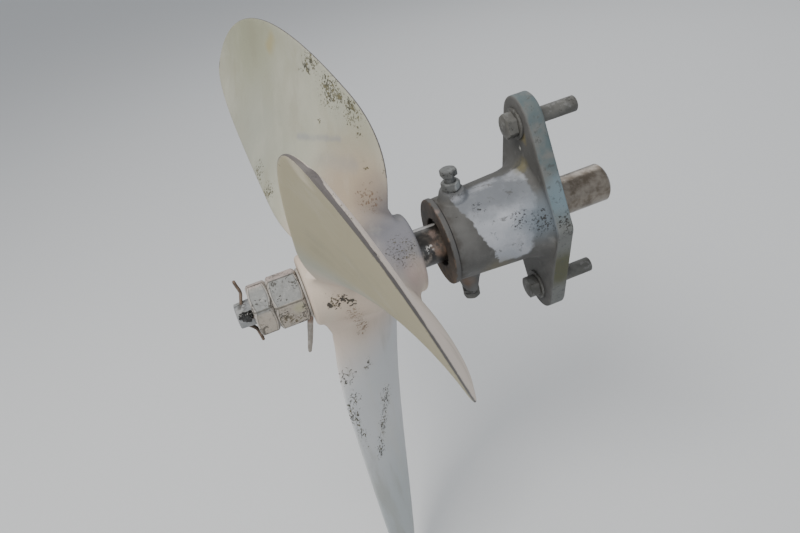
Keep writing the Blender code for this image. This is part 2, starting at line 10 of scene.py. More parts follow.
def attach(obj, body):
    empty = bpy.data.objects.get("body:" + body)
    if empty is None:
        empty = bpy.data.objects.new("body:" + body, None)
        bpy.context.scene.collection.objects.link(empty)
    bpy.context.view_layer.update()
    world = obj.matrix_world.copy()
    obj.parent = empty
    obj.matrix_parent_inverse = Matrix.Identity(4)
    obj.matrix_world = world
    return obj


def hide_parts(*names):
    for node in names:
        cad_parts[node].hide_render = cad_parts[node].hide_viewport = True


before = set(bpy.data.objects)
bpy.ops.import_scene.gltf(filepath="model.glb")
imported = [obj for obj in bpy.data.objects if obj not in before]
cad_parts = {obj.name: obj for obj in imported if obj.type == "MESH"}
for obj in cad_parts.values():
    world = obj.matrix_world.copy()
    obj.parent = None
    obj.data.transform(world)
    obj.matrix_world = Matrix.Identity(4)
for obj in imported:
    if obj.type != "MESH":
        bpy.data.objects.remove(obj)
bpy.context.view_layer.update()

# Sizes in metres, as in the part's own source. Shapes are made about the shaft's axis.
AXIS = Vector((0.0, 0.0, 0.055))
TOUCH_GAP = 0.0003
SMALL_EDGE = 0.0006

# Propeller
TIP_RADIUS = 0.3428
HUB_FORWARD_X, HUB_AFT_X = -0.1268, -0.2268
HUB_MIDDLE_X = (HUB_FORWARD_X + HUB_AFT_X) / 2
HUB_FORWARD_RADIUS, HUB_MIDDLE_RADIUS, HUB_AFT_RADIUS = 0.0355, 0.0385, 0.031
HUB_ROUNDING = 0.0045
HUB_FORWARD_BORE, HUB_AFT_BORE = 0.0178, 0.0128
BLADES, BLADE_SIDES = 3, 48
BLADE_A_ANGLE = radians(54.9)
PITCH_AT_AXIS, PITCH_AT_TIP = 0.329, 0.779
BLADE_MIDDLE_X = HUB_MIDDLE_X - 0.0039
BLADE_RAKE = 0.117
BLADE_ROOT_AT = 0.05
# Width at the root, greatest width, the radius where it is reached, and how squarely it closes
LEADING_EDGE = (0.051, 0.121, 0.1465, 2.1)
TRAILING_EDGE = (0.046, 0.0579, 0.125, 2.1)
SWEEP, SWEEP_GROWTH = 0.1765, 0.046
CAMBER = 0.028
ROOT_THICKNESS, TIP_THICKNESS, EDGE_THICKNESS, EDGE_SQUARENESS = 0.0204, 0.0035, 0.0025, 40
FACE_FILLET, EDGE_FILLET = 0.019, 0.006
ROOT_BLEND = 0.024
# Up to this height over the hub a blade stays this far inside the hub's ends
HUB_KEEP_HEIGHT, HUB_KEEP = 0.012, 0.001
# How far in wear reaches from a blade's rim, and the radii where it starts
RIM_WIDTH = 0.012
LEADING_WEAR_FROM, TRAILING_WEAR_FROM, TRAILING_WEAR_FULL = 0.075, 0.22, 0.28

# Shaft, nuts and tab washer
SHAFT_RADIUS, THREAD_RADIUS, TAPER_END_RADIUS = 0.0175, 0.01175, 0.0125
SHAFT_AFT_X, SHAFT_FORWARD_X = -0.287, 0.06
PIN_X, PIN_RADIUS = -0.2801, 0.0013
NUT_ACROSS, NUT_FACE_SHARE, NUT_CHAMFER = 0.0425, 0.95, radians(30)
CORNER_WEAR, CHAMFER_WEAR = 0.003, 0.0024
WASHER_AFT_X, WASHER_FORWARD_X, WASHER_RADIUS = -0.2291, -0.2271, 0.0215
NUT_AFT_X, NUT_FORWARD_X, NUT_TURN = -0.2559, -0.2294, radians(40)
LOCK_AFT_X, LOCK_FORWARD_X, LOCK_TURN = -0.2732, -0.2562, radians(33)

# Stern bearing
FLANGE_FACE_X, FLANGE_ROUNDING, FLANGE_BACK_EDGE = -0.0155, 0.0018, 0.0008
FLANGE_LOBE_RADIUS, FLANGE_HALF_WIDTH, FLANGE_SIDE_RADIUS = 0.0235, 0.054, 0.0095
BOLT_FROM_AXIS = 0.084
BARREL_END_X, BARREL_EDGE = -0.0985, 0.0012
BARREL_AFT_RADIUS, BARREL_FORWARD_RADIUS = 0.038, 0.041
FLARE_LENGTH, FLARE_HEIGHT = 0.022, 0.01
FLARE_START_X = FLANGE_FACE_X - FLARE_LENGTH
BOSS_X = -0.082
UPPER_BOSS_TOP, LOWER_BOSS_TOP = 0.0458, 0.0573
# From a boss's middle to the foot of its slope, how wide the slope is, and how hollow the lower one
UPPER_BOSS_FOOT, UPPER_BOSS_SLOPE = 0.0143, 0.0046
LOWER_BOSS_FOOT, LOWER_BOSS_SLOPE, LOWER_BOSS_HOLLOW = 0.016, 0.0092, 2.1
SLEEVE_INNER, SLEEVE_OUTER = 0.0221, 0.0266
RING_FORWARD_X, RING_AFT_X, RING_RADIUS = -0.0988, -0.1038, 0.0393
LINER_INNER, LINER_OUTER, LINER_AFT_X = 0.018, 0.0218, -0.0998
FLUTES, FLUTE_RADIUS = 8, 0.0016

# Fasteners
SET_SCREW_RADIUS, SET_HEAD_ACROSS, SET_NUT_ACROSS = 0.0045, 0.0135, 0.0147
SET_HEAD_HEIGHT, SET_NUT_TURN = 0.0058, radians(12)
HEAD_FACE_SHARE, HEAD_CHAMFER = 0.93, radians(28)
BOLT_RADIUS, BOLT_END_X, BOLT_TURN = 0.007, 0.04, radians(20)
BOLT_HEAD_ACROSS, BOLT_HEAD_HEIGHT = 0.02, 0.009
WASHER_OUTER, WASHER_THICKNESS = 0.014, 0.002

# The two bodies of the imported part
TURNING = "shaft_and_propeller"
STILL = "stern_bearing"

FLOOR_HEIGHT, FLOOR_SIZE = -0.3, 9.0


class Tone:
    """A number on its way through a material's nodes, so that shader maths reads as arithmetic."""

    def __init__(self, coat, socket):
        self.coat = coat
        self.socket = socket

    def maths(self, operation, *values, limit=False):
        settings = {"operation": operation, "use_clamp": limit}
        return self.coat.node("ShaderNodeMath", settings, dict(enumerate(values)))

    def __add__(self, other):
        return self.maths("ADD", self, other)

    def __sub__(self, other):
        return self.maths("SUBTRACT", self, other)

    def __rsub__(self, other):
        return self.maths("SUBTRACT", other, self)

    def __mul__(self, other):
        return self.maths("MULTIPLY", self, other)

    __radd__ = __add__
    __rmul__ = __mul__

    def held(self):
        """The same number held between 0 and 1."""
        return self.maths("ADD", self, 0.0, limit=True)

    def or_more(self, other):
        return self.maths("MAXIMUM", self, other)


class Coat:
    """A material under construction: its place on the object and the colour painted so far."""

    def __init__(self, name, ragged=None):
        """With ragged, a scale and an amount, the borders of what is painted are pushed about."""
        self.material = bpy.data.materials.new(name)
        self.material.use_nodes = True
        self.tree = self.material.node_tree
        self.shader = self.tree.nodes["Principled BSDF"]
        object_place = self.node("ShaderNodeTexCoord", {}, {}, "Object")
        self.place = self.vector("SUBTRACT", object_place, tuple(AXIS))
        self.borders = self.shaken(*ragged) if ragged else self.place
        self.colour = None

    def node(self, kind, settings, inputs, output=0):
        """Add a node: its settings first, then its sockets' values or links."""
        made = self.tree.nodes.new(kind)
        for key, value in settings.items():
            setattr(made, key, value)
        for key, value in inputs.items():
            if isinstance(value, Tone):
                self.tree.links.new(value.socket, made.inputs[key])
            else:
                made.inputs[key].default_value = value
        return Tone(self, made.outputs[output])

    def vector(self, operation, *values, output=0):
        return self.node("ShaderNodeVectorMath", {"operation": operation}, dict(enumerate(values)), output)

    def noise(self, scale, detail=4.0, roughness=0.55, place=None, distortion=0.0, output="Fac"):
        inputs = {"Vector": place or self.place, "Scale": scale, "Detail": detail, "Roughness": roughness,
                  "Distortion": distortion}
        return self.node("ShaderNodeTexNoise", {}, inputs, output)

    def ramp(self, value, low, high, start=0.0, end=1.0):
        """Go smoothly from start to end while the value goes from low to high."""
        inputs = {"Value": value, "From Min": low, "From Max": high, "To Min": start, "To Max": end}
        return self.node("ShaderNodeMapRange", {"interpolation_type": "SMOOTHSTEP"}, inputs)

    def fall(self, value, low, high):
        return self.ramp(value, low, high, 1.0, 0.0)

    def stretched(self, *factors):
        """The place on the object, stretched along X, Y and Z."""
        return self.vector("MULTIPLY", self.place, factors)

    def shaken(self, scale, amount):
        """The place on the object, pushed about at random, which makes borders ragged."""
        push = self.vector("SUBTRACT", self.noise(scale, 5.0, 0.6, output="Color"), (0.5, 0.5, 0.5))
        return self.vector("MULTIPLY_ADD", push, (amount, amount, amount), self.place)

    def near(self, point, reach, soft, place=None):
        """1 at a point, given about the shaft's axis, fading to 0 at the reach."""
        distance = self.vector("DISTANCE", place or self.borders, point, output="Value")
        return self.fall(distance, reach * (1 - soft), reach)

    def streak(self, start, end, reach, soft, place=None):
        """1 on the line between two points, fading to 0 at the reach."""
        line = Vector(end) - Vector(start)
        off = self.vector("SUBTRACT", place or self.borders, start)
        along = self.vector("DOT_PRODUCT", off, tuple(line / line.length_squared), output="Value").held()
        foot = self.node("ShaderNodeVectorMath", {"operation": "SCALE"}, {0: tuple(line), "Scale": along})
        distance = self.vector("DISTANCE", off, foot, output="Value")
        return self.fall(distance, reach * (1 - soft), reach)

    def any_near(self, spots, place=None):
        """The strongest of several spots, each a point with its reach."""
        found = None
        for point, reach in spots:
            spot = self.near(point, reach, 0.9, place)
            found = found.or_more(spot) if found else spot
        return found

    def flecks(self, share, scale, limit):
        """Ragged flecks that crowd together where the share is high and break up where it is low."""
        return self.ramp(self.noise(scale, 5.0, 0.7) + share * 0.3, limit, limit + 0.03)

    def stored(self, name):
        """A number that the mesh keeps at its points."""
        return self.node("ShaderNodeAttribute", {"attribute_name": name}, {}, "Fac")

    def part_of(self, axis, place=None):
        """One of the three measures of the place on the object: X, Y or Z."""
        return self.node("ShaderNodeSeparateXYZ", {}, {"Vector": place or self.place}, axis)

    def towards(self, way):
        """How far a point lies from the shaft's axis in one direction."""
        return self.vector("DOT_PRODUCT", self.place, tuple(Vector(way).normalized()), output="Value")

    def from_axis(self):
        """Distance from the shaft's axis."""
        return self.vector("LENGTH", self.stretched(0.0, 1.0, 1.0), output="Value")

    def mix(self, share, first, second):
        """A colour between two colours."""
        inputs = {0: share}
        for key, colour in ((6, first), (7, second)):
            inputs[key] = colour if isinstance(colour, Tone) else (*colour, 1.0)
        return self.node("ShaderNodeMix", {"data_type": "RGBA"}, inputs, 2)

    def two_tone(self, value, low, high, first, second):
        """One colour where the value is low and another where it is high."""
        return self.mix(self.ramp(value, low, high), first, second)

    def paint(self, share, tint):
        """Lay a tint over what is painted so far."""
        self.colour = self.mix(share, self.colour, tint)

    def paint_spots(self, *spots):
        """Lay spots over it: each has a point, its reach, how softly it fades, its strength and its tint."""
        for point, reach, soft, strength, tint in spots:
            self.paint(self.near(point, reach, soft) * strength, tint)

    def finish(self, roughness, metallic=0.0, relief=None, depth=0.0):
        """Join what varies to the shader, where relief is a height that counts for a depth."""
        for key, value in (("Base Color", self.colour), ("Roughness", roughness), ("Metallic", metallic)):
            if isinstance(value, Tone):
                self.tree.links.new(value.socket, self.shader.inputs[key])
            else:
                self.shader.inputs[key].default_value = value
        if relief is not None:
            bump = self.node("ShaderNodeBump", {}, {"Height": relief, "Distance": depth, "Strength": 1.0})
            self.tree.links.new(bump.socket, self.shader.inputs["Normal"])
        return self.material


# Marks, as points about the shaft's axis with how far each reaches
OLIVE_BLOTS = (
    ((-0.1544, 0.0891, 0.1615), 0.016),
    ((-0.159, 0.098, 0.154), 0.014),
    ((-0.1633, 0.1073, 0.1479), 0.009),
    ((-0.1501, 0.062, 0.1398), 0.026),
    ((-0.1409, 0.035, 0.1325), 0.019),
    ((-0.146, 0.048, 0.138), 0.014),
    ((-0.1641, 0.0761, 0.1124), 0.008),
    ((-0.1421, 0.026, 0.1108), 0.011),
    ((-0.1461, 0.0182, 0.083), 0.008),
    ((-0.156, 0.066, 0.152), 0.013),
)
HUB_CHIPS = (
    ((-0.1997, -0.0357, 0.0038), 0.007),
    ((-0.1945, -0.0362, -0.0024), 0.0075),
    ((-0.207, -0.0339, -0.0024), 0.006),
    ((-0.2121, -0.0332, 0.0005), 0.005),
)
DARK_SPECKS = (
    ((-0.207, -0.0338, 0.0038), 0.02),
    ((-0.2176, -0.0217, -0.0861), 0.022),
    ((-0.2171, -0.0269, -0.1079), 0.02),
    ((-0.1947, -0.0089, -0.0907), 0.014),
    ((-0.1871, -0.002, -0.1436), 0.034),
    ((-0.2093, -0.0313, -0.1751), 0.022),
    ((-0.2247, 0.1623, 0.0476), 0.03),
    ((-0.224, 0.1308, 0.0384), 0.03),
    ((-0.1544, 0.0891, 0.1615), 0.034),
    ((-0.1501, 0.062, 0.1398), 0.045),
    ((-0.1409, 0.035, 0.125), 0.034),
)
RUSTY_SPECKS = (
    ((-0.1512, 0.0117, 0.056), 0.032),
    ((-0.196, -0.028, -0.028), 0.022),
    ((-0.1895, -0.0061, -0.0536), 0.02),
)
# Smears on the blades: start, end, reach, strength and tint
SMEARS = (
    ((-0.1831, 0.1038, 0.0928), (-0.1562, 0.0495, 0.1028), 0.005, 0.5, (0.215, 0.22, 0.24)),
    ((-0.176, 0.09, 0.074), (-0.1549, 0.033, 0.084), 0.012, 0.45, (0.23, 0.235, 0.25)),
    ((-0.1734, 0.1638, 0.1673), (-0.176, 0.172, 0.16), 0.012, 0.55, (0.33, 0.27, 0.11)),
    ((-0.2252, -0.2528, 0.2253), (-0.2218, -0.244, 0.2105), 0.0085, 0.85, (0.56, 0.5, 0.37)),
    ((-0.217, -0.22, 0.19), (-0.202, -0.185, 0.125), 0.007, 0.35, (0.5, 0.45, 0.33)),
    ((-0.2087, -0.1957, 0.1394), (-0.1994, -0.1901, 0.1117), 0.012, 0.3, (0.27, 0.25, 0.17)),
)
HOUSING_PITS = (
    ((-0.0702, -0.0221, 0.0326), 0.014),
    ((-0.0705, -0.0316, 0.0235), 0.008),
    ((-0.0893, -0.0231, 0.0307), 0.006),
    ((-0.0224, -0.0422, 0.0116), 0.03),
    ((-0.04, -0.038, 0.015), 0.022),
    ((-0.004, -0.048, 0.005), 0.03),
    ((-0.082, -0.008, 0.044), 0.014),
)
NUT_BROWN = (
    ((-0.2482, -0.0209, -0.0049), 0.018),
    ((-0.24, -0.02, -0.009), 0.013),
)


def propeller_coat():
    """Pale antifouling worn dull: olive and pink tints, smears, specks, chips and dark bare rims, with
    painted light on the lowest blade and on one blade's forward face.
    """
    coat = Coat("propeller_coat", (70.0, 0.012))
    cloud = coat.noise(9.0, 5.0, 0.6)
    patches = coat.ramp(coat.noise(24.0, 6.0, 0.65, distortion=0.6), 0.42, 0.62)
    runs = coat.noise(22.0, 4.0, 0.6, coat.stretched(1.6, 1.0, 0.35))
    grain = coat.noise(420.0, 3.0, 0.6)
    coat.colour = coat.two_tone(cloud, 0.35, 0.65, (0.34, 0.342, 0.27), (0.4, 0.396, 0.325))
    coat.paint(patches * 0.4, (0.33, 0.318, 0.235))
    coat.paint_spots(
        ((-0.18, 0.225, 0.165), 0.12, 0.9, 0.9, (0.275, 0.278, 0.19)),
        ((-0.19, 0.19, 0.06), 0.11, 0.9, 0.55, (0.34, 0.35, 0.3)),
        ((-0.2, -0.23, 0.175), 0.2, 0.4, 0.95, (0.365, 0.32, 0.2)),
        # Painted light: the lowest blade is lifted to a pale bluish tone, as if lit from below.
        ((-0.2, -0.01, -0.18), 0.17, 0.4, 0.95, (0.51, 0.522, 0.535)),
        ((-0.225, -0.03, -0.27), 0.12, 0.8, 0.8, (0.37, 0.405, 0.41)),
    )
    coat.paint(coat.fall(coat.from_axis(), 0.04, 0.11) * 0.8, (0.56, 0.445, 0.36))
    coat.paint_spots(((-0.16, 0.025, 0.056), 0.075, 0.8, 0.85, (0.35, 0.28, 0.205)))
    # Painted light: the forward face of the blade on the -Y side, which lies in shade, is tinted pale as if
    # lit.
    painted_light_forward_face = coat.stored("forward_side") * coat.near((-0.19, -0.27, 0.13), 0.33, 0.4, coat.place)
    coat.paint(painted_light_forward_face, (0.66, 0.57, 0.495))
    coat.paint_spots(
        ((-0.134, -0.012, 0.033), 0.062, 0.75, 0.95, (0.12, 0.125, 0.145)),
        ((-0.142, -0.03, 0.02), 0.044, 0.8, 0.55, (0.185, 0.182, 0.205)),
        ((-0.1373, -0.0374, 0.001), 0.02, 0.8, 0.65, (0.47, 0.36, 0.32)),
    )
    coat.paint(coat.ramp(runs, 0.52, 0.7) * 0.3, (0.235, 0.22, 0.15))
    coat.paint(coat.fall(runs, 0.3, 0.46) * 0.2, (0.5, 0.485, 0.41))
    drawn_out = coat.shaken(32.0, 0.012)
    broken_up = coat.ramp(runs, 0.3, 0.55, 0.35, 1.0)
    for start, end, reach, strength, tint in SMEARS:
        coat.paint(coat.streak(start, end, reach, 0.9, drawn_out) * broken_up * strength, tint)
    strays = coat.ramp(coat.noise(15.0, 4.0, 0.6, coat.stretched(1.0, 1.3, 0.8)), 0.52, 0.68)
    trail = coat.streak((-0.1871, -0.002, -0.1436), (-0.2093, -0.0313, -0.1751), 0.02, 0.9)
    edge_trail = coat.streak((-0.2233, -0.0327, -0.1145), (-0.233, -0.035, -0.25), 0.02, 0.9)
    crowd = coat.any_near(DARK_SPECKS).or_more(trail).or_more(edge_trail).or_more(strays * 0.55)
    specks = coat.flecks(crowd, 430.0, 0.825)
    blots = coat.flecks(coat.any_near(OLIVE_BLOTS), 230.0, 0.8)
    near_chips = coat.any_near(HUB_CHIPS, coat.shaken(260.0, 0.006))
    chips = coat.ramp(near_chips * coat.ramp(coat.noise(260.0, 2.0), 0.48, 0.52), 0.3, 0.45)
    pinholes = coat.flecks(coat.near((-0.1431, -0.0291, 0.022), 0.036, 0.8, coat.place), 640.0, 0.87)
    arc = coat.streak((-0.1962, -0.0336, -0.0117), (-0.1895, -0.0061, -0.0536), 0.016, 0.9)
    rusty = coat.any_near(RUSTY_SPECKS)
    rust = coat.flecks(rusty.or_more(arc), 430.0, 0.835)
    coat.paint(rusty * 0.22, (0.3, 0.21, 0.125))
    coat.paint(rust * 0.75, (0.14, 0.08, 0.042))
    marks = blots.or_more(specks).or_more(chips).or_more(pinholes)
    dirt = coat.two_tone(coat.noise(120.0), 0.42, 0.58, (0.035, 0.032, 0.016), (0.11, 0.095, 0.04))
    coat.paint(marks * 0.9, dirt)
    coat.paint(chips * 0.8, (0.034, 0.027, 0.023))
    rim = coat.stored("rim") + (coat.noise(75.0, 5.0, 0.7) - 0.5) * 0.08
    worn = coat.ramp(rim, 0.955, 0.98)
    coat.paint(coat.ramp(rim, 0.86, 0.96) * 0.45, (0.215, 0.205, 0.18))
    nicks = coat.flecks(coat.ramp(rim, 0.3, 0.8) * 0.75, 380.0, 0.835)
    coat.paint(nicks * 0.8, (0.075, 0.068, 0.05))
    coat.paint(worn * 0.9, (0.06, 0.052, 0.055))
    relief = grain * 0.35 + cloud * 0.5 + patches * 0.2 - marks * 0.8 - rust * 0.3 - worn * 0.5
    return coat.finish(0.58 + cloud * 0.22 - worn * 0.12, 0.0, relief, 0.0005)


def housing_coat():
    """Dark grey paint, pale and bluish where it has worn along the barrel, stained near the flange, with
    painted shade on the upper part of the flange's rim.
    """
    coat = Coat("housing_coat", (85.0, 0.014))
    cloud = coat.noise(22.0, 6.0, 0.62)
    mottle = coat.noise(60.0, 6.0, 0.68)
    grain = coat.noise(520.0, 3.0, 0.6)
    forward, side, height = (coat.part_of(axis, coat.borders) for axis in "XYZ")
    coat.colour = coat.two_tone(cloud, 0.35, 0.65, (0.056, 0.055, 0.052), (0.094, 0.093, 0.09))
    coat.paint(coat.ramp(mottle, 0.54, 0.7) * 0.45, (0.15, 0.15, 0.145))
    from_aft_limit = forward - (-0.0705 - height * 0.38)
    from_forward_limit = forward - (-0.0315 + height * 0.28)
    patch = coat.ramp(from_aft_limit, -0.001, 0.001) * coat.fall(from_forward_limit, -0.002, 0.004)
    patch = patch * coat.fall(forward, -0.022, -0.0185)
    patch = patch * coat.ramp(height, -0.023, -0.019) * coat.fall(side, -0.001, 0.004)
    pale = coat.two_tone(coat.noise(30.0, 5.0), 0.38, 0.62, (0.265, 0.28, 0.305), (0.35, 0.36, 0.39))
    upper_share = coat.ramp(height, 0.022, 0.034) * coat.ramp(height, 0.0385, 0.0425, 1.0, 0.35)
    pale = coat.mix(upper_share * 0.9, pale, (0.12, 0.13, 0.145))
    pale = coat.mix(coat.ramp(mottle, 0.55, 0.66) * 0.45, pale, (0.19, 0.2, 0.215))
    worn_through = coat.ramp(coat.noise(130.0, 5.0, 0.7), 0.58, 0.66) * 0.7
    coat.paint(patch * (1 - worn_through), pale)
    grime = coat.fall(forward, -0.0985, -0.09) * coat.ramp(coat.noise(95.0, 5.0, 0.7), 0.34, 0.6)
    coat.paint(grime * 0.85, (0.036, 0.031, 0.026))
    coat.paint_spots(
        ((BOSS_X, 0.0, 0.047), 0.015, 0.25, 0.85, (0.068, 0.07, 0.071)),
        ((-0.0224, -0.04, 0.014), 0.03, 0.8, 0.8, (0.105, 0.13, 0.155)),
    )
    rim = coat.ramp(coat.part_of("X"), -0.015, -0.0136)
    coat.paint(rim * 0.85, (0.125, 0.13, 0.124))
    # Painted shade: the upper part of the flange's rim is darkened in patches, for the shade that falls on it
    # from above.
    upper = rim * coat.ramp(height, 0.005, 0.025)
    coat.paint(upper * coat.ramp(coat.noise(60.0, 5.0), 0.34, 0.6), (0.072, 0.098, 0.104))
    coat.paint(rim * coat.near((-0.0013, -0.044, 0.029), 0.026, 0.7) * 0.8, (0.125, 0.178, 0.208))
    coat.paint(rim * coat.near((-0.008, -0.038, -0.048), 0.032, 0.7) * 0.85, (0.055, 0.055, 0.02))
    flaked = rim * coat.ramp(coat.noise(230.0, 5.0, 0.7), 0.56, 0.62)
    coat.paint(flaked * 0.6, (0.05, 0.052, 0.05))
    coat.paint_spots(
        ((-0.0155, -0.0103, 0.074), 0.009, 0.8, 0.6, (0.16, 0.13, 0.04)),
        ((-0.0155, -0.0018, 0.0625), 0.003, 0.8, 0.85, (0.48, 0.48, 0.45)),
        ((-0.018, -0.004, 0.0463), 0.012, 0.8, 0.55, (0.15, 0.13, 0.05)),
        ((-0.064, -0.03, -0.027), 0.022, 0.8, 0.35, (0.15, 0.125, 0.06)),
        ((-0.088, -0.012, -0.044), 0.011, 0.8, 0.5, (0.15, 0.075, 0.035)),
    )
    ridge = coat.streak((-0.074, 0.002, 0.043), (-0.017, 0.002, 0.048), 0.005, 0.7)
    coat.paint(ridge * 0.85, (0.042, 0.042, 0.042))
    strays = coat.ramp(coat.noise(30.0), 0.5, 0.66)
    marks = coat.flecks(coat.any_near(HOUSING_PITS).or_more(strays * 0.6), 480.0, 0.835)
    coat.paint(marks * 0.9, (0.018, 0.016, 0.013))
    relief = grain * 0.3 + cloud * 0.6 + patch * 0.25 - marks * 0.8
    return coat.finish(0.62 + cloud * 0.18, 0.0, relief, 0.0005)


def nut_coat():
    """Pale paint on the two big nuts: each flat has its own tone, painted light and shade by the way it
    faces, with specks and dark worn corners.
    """
    coat = Coat("nut_coat", (160.0, 0.004))
    cloud = coat.noise(48.0, 6.0, 0.62)
    mottle = coat.noise(260.0, 5.0, 0.7)
    grain = coat.noise(700.0, 3.0, 0.6)
    coat.colour = coat.two_tone(cloud, 0.35, 0.68, (0.25, 0.235, 0.205), (0.37, 0.345, 0.305))
    # Painted light and shade: the up-facing flat is painted lit pale pink, the next flat round painted in
    # shade, the low flat brownish.
    lit_and_shaded_flats = (
        ((0.0, 0.347, 0.938), (0.43, 0.355, 0.33)),
        ((0.0, -0.64, 0.77), (0.2, 0.206, 0.204)),
        ((0.0, -0.986, -0.169), (0.35, 0.305, 0.255)),
    )
    for way, tint in lit_and_shaded_flats:
        coat.paint(coat.ramp(coat.towards(way), 0.0196, 0.0208) * 0.9, tint)
    coat.paint(coat.ramp(mottle, 0.5, 0.66) * 0.45, (0.13, 0.128, 0.118))
    coat.paint(coat.fall(mottle, 0.34, 0.46) * 0.3, (0.42, 0.405, 0.38))
    coat.paint_spots(((-0.236, -0.0221, 0.0019), 0.008, 0.8, 0.7, (0.37, 0.35, 0.225)))
    brown = coat.flecks(coat.any_near(NUT_BROWN), 460.0, 0.8)
    coat.paint(brown * 0.8, (0.085, 0.062, 0.024))
    marks = coat.flecks(coat.ramp(coat.noise(75.0, 3.0), 0.3, 0.6), 460.0, 0.815)
    corner = coat.ramp(coat.stored("corner") + (coat.noise(200.0) - 0.5) * 0.5, 0.6, 0.85)
    near_end = coat.stored("chamfer") + (coat.noise(150.0) - 0.5) * 0.25
    edge = coat.ramp(near_end, 0.35, 0.55) * coat.fall(near_end, 0.65, 0.85)
    coat.paint(coat.ramp(near_end, 0.7, 0.9) * 0.6, (0.42, 0.385, 0.35))
    coat.paint(marks.or_more(corner * 0.85).or_more(edge * 0.6) * 0.85, (0.055, 0.05, 0.04))
    relief = grain * 0.3 + cloud * 0.5 + mottle * 0.3 - marks * 0.8 - brown * 0.5
    return coat.finish(0.52 + cloud * 0.2, 0.0, relief, 0.0004)


def bearing_fastener_coat():
    """Dark grey paint on the screws and bolts of the bearing, rubbed pale here and there, with a painted lit
    flat on the upper lock nut.
    """
    coat = Coat("bearing_fastener_coat")
    cloud = coat.noise(70.0, 6.0, 0.62)
    grain = coat.noise(700.0, 3.0, 0.6)
    coat.colour = coat.two_tone(cloud, 0.35, 0.65, (0.052, 0.051, 0.046), (0.1, 0.098, 0.09))
    coat.paint(coat.ramp(coat.noise(110.0, 5.0, 0.65), 0.54, 0.62) * 0.45, (0.19, 0.192, 0.188))
    coat.paint_spots(
        ((BOSS_X, 0.0, 0.056), 0.015, 0.3, 0.4, (0.14, 0.152, 0.16)),
        # Painted light: the upper lock nut's flats on its forward side towards -Y are painted pale as if lit.
        ((-0.076, -0.009, 0.05), 0.0065, 0.4, 0.75, (0.32, 0.34, 0.35)),
    )
    marks = coat.flecks(coat.ramp(coat.noise(80.0, 3.0), 0.4, 0.62), 560.0, 0.85)
    coat.paint(marks * 0.85, (0.02, 0.018, 0.014))
    return coat.finish(0.5 + cloud * 0.22, 0.0, grain * 0.3 + cloud * 0.5 - marks * 0.8, 0.0004)


def stained_bronze():
    """Bronze, brown-black on the ring's face, brown low down and at its edge, grey paint round it."""
    coat = Coat("stained_bronze", (180.0, 0.005))
    cloud = coat.noise(70.0, 7.0, 0.65)
    coat.colour = coat.two_tone(cloud, 0.38, 0.66, (0.026, 0.021, 0.018), (0.07, 0.055, 0.044))
    low = coat.fall(coat.part_of("Z", coat.borders), -0.028, -0.01) * coat.ramp(cloud, 0.4, 0.56)
    coat.paint(low * 0.7, (0.115, 0.076, 0.052))
    out = coat.from_axis()
    rusty = coat.ramp(out, 0.0355, 0.0385) * coat.ramp(coat.noise(120.0, 5.0, 0.7), 0.5, 0.6)
    coat.paint(rusty * 0.55, (0.15, 0.1, 0.068))
    painted = coat.ramp(out, 0.0376, 0.0388) * coat.ramp(coat.part_of("X", coat.borders), -0.1036, -0.1026)
    coat.paint(painted * 0.9, (0.078, 0.078, 0.077))
    coat.paint_spots(((-0.1031, -0.0127, 0.037), 0.0045, 0.9, 0.55, (0.26, 0.19, 0.165)))
    return coat.finish(0.55 + cloud * 0.25, 0.15, cloud, 0.0005)


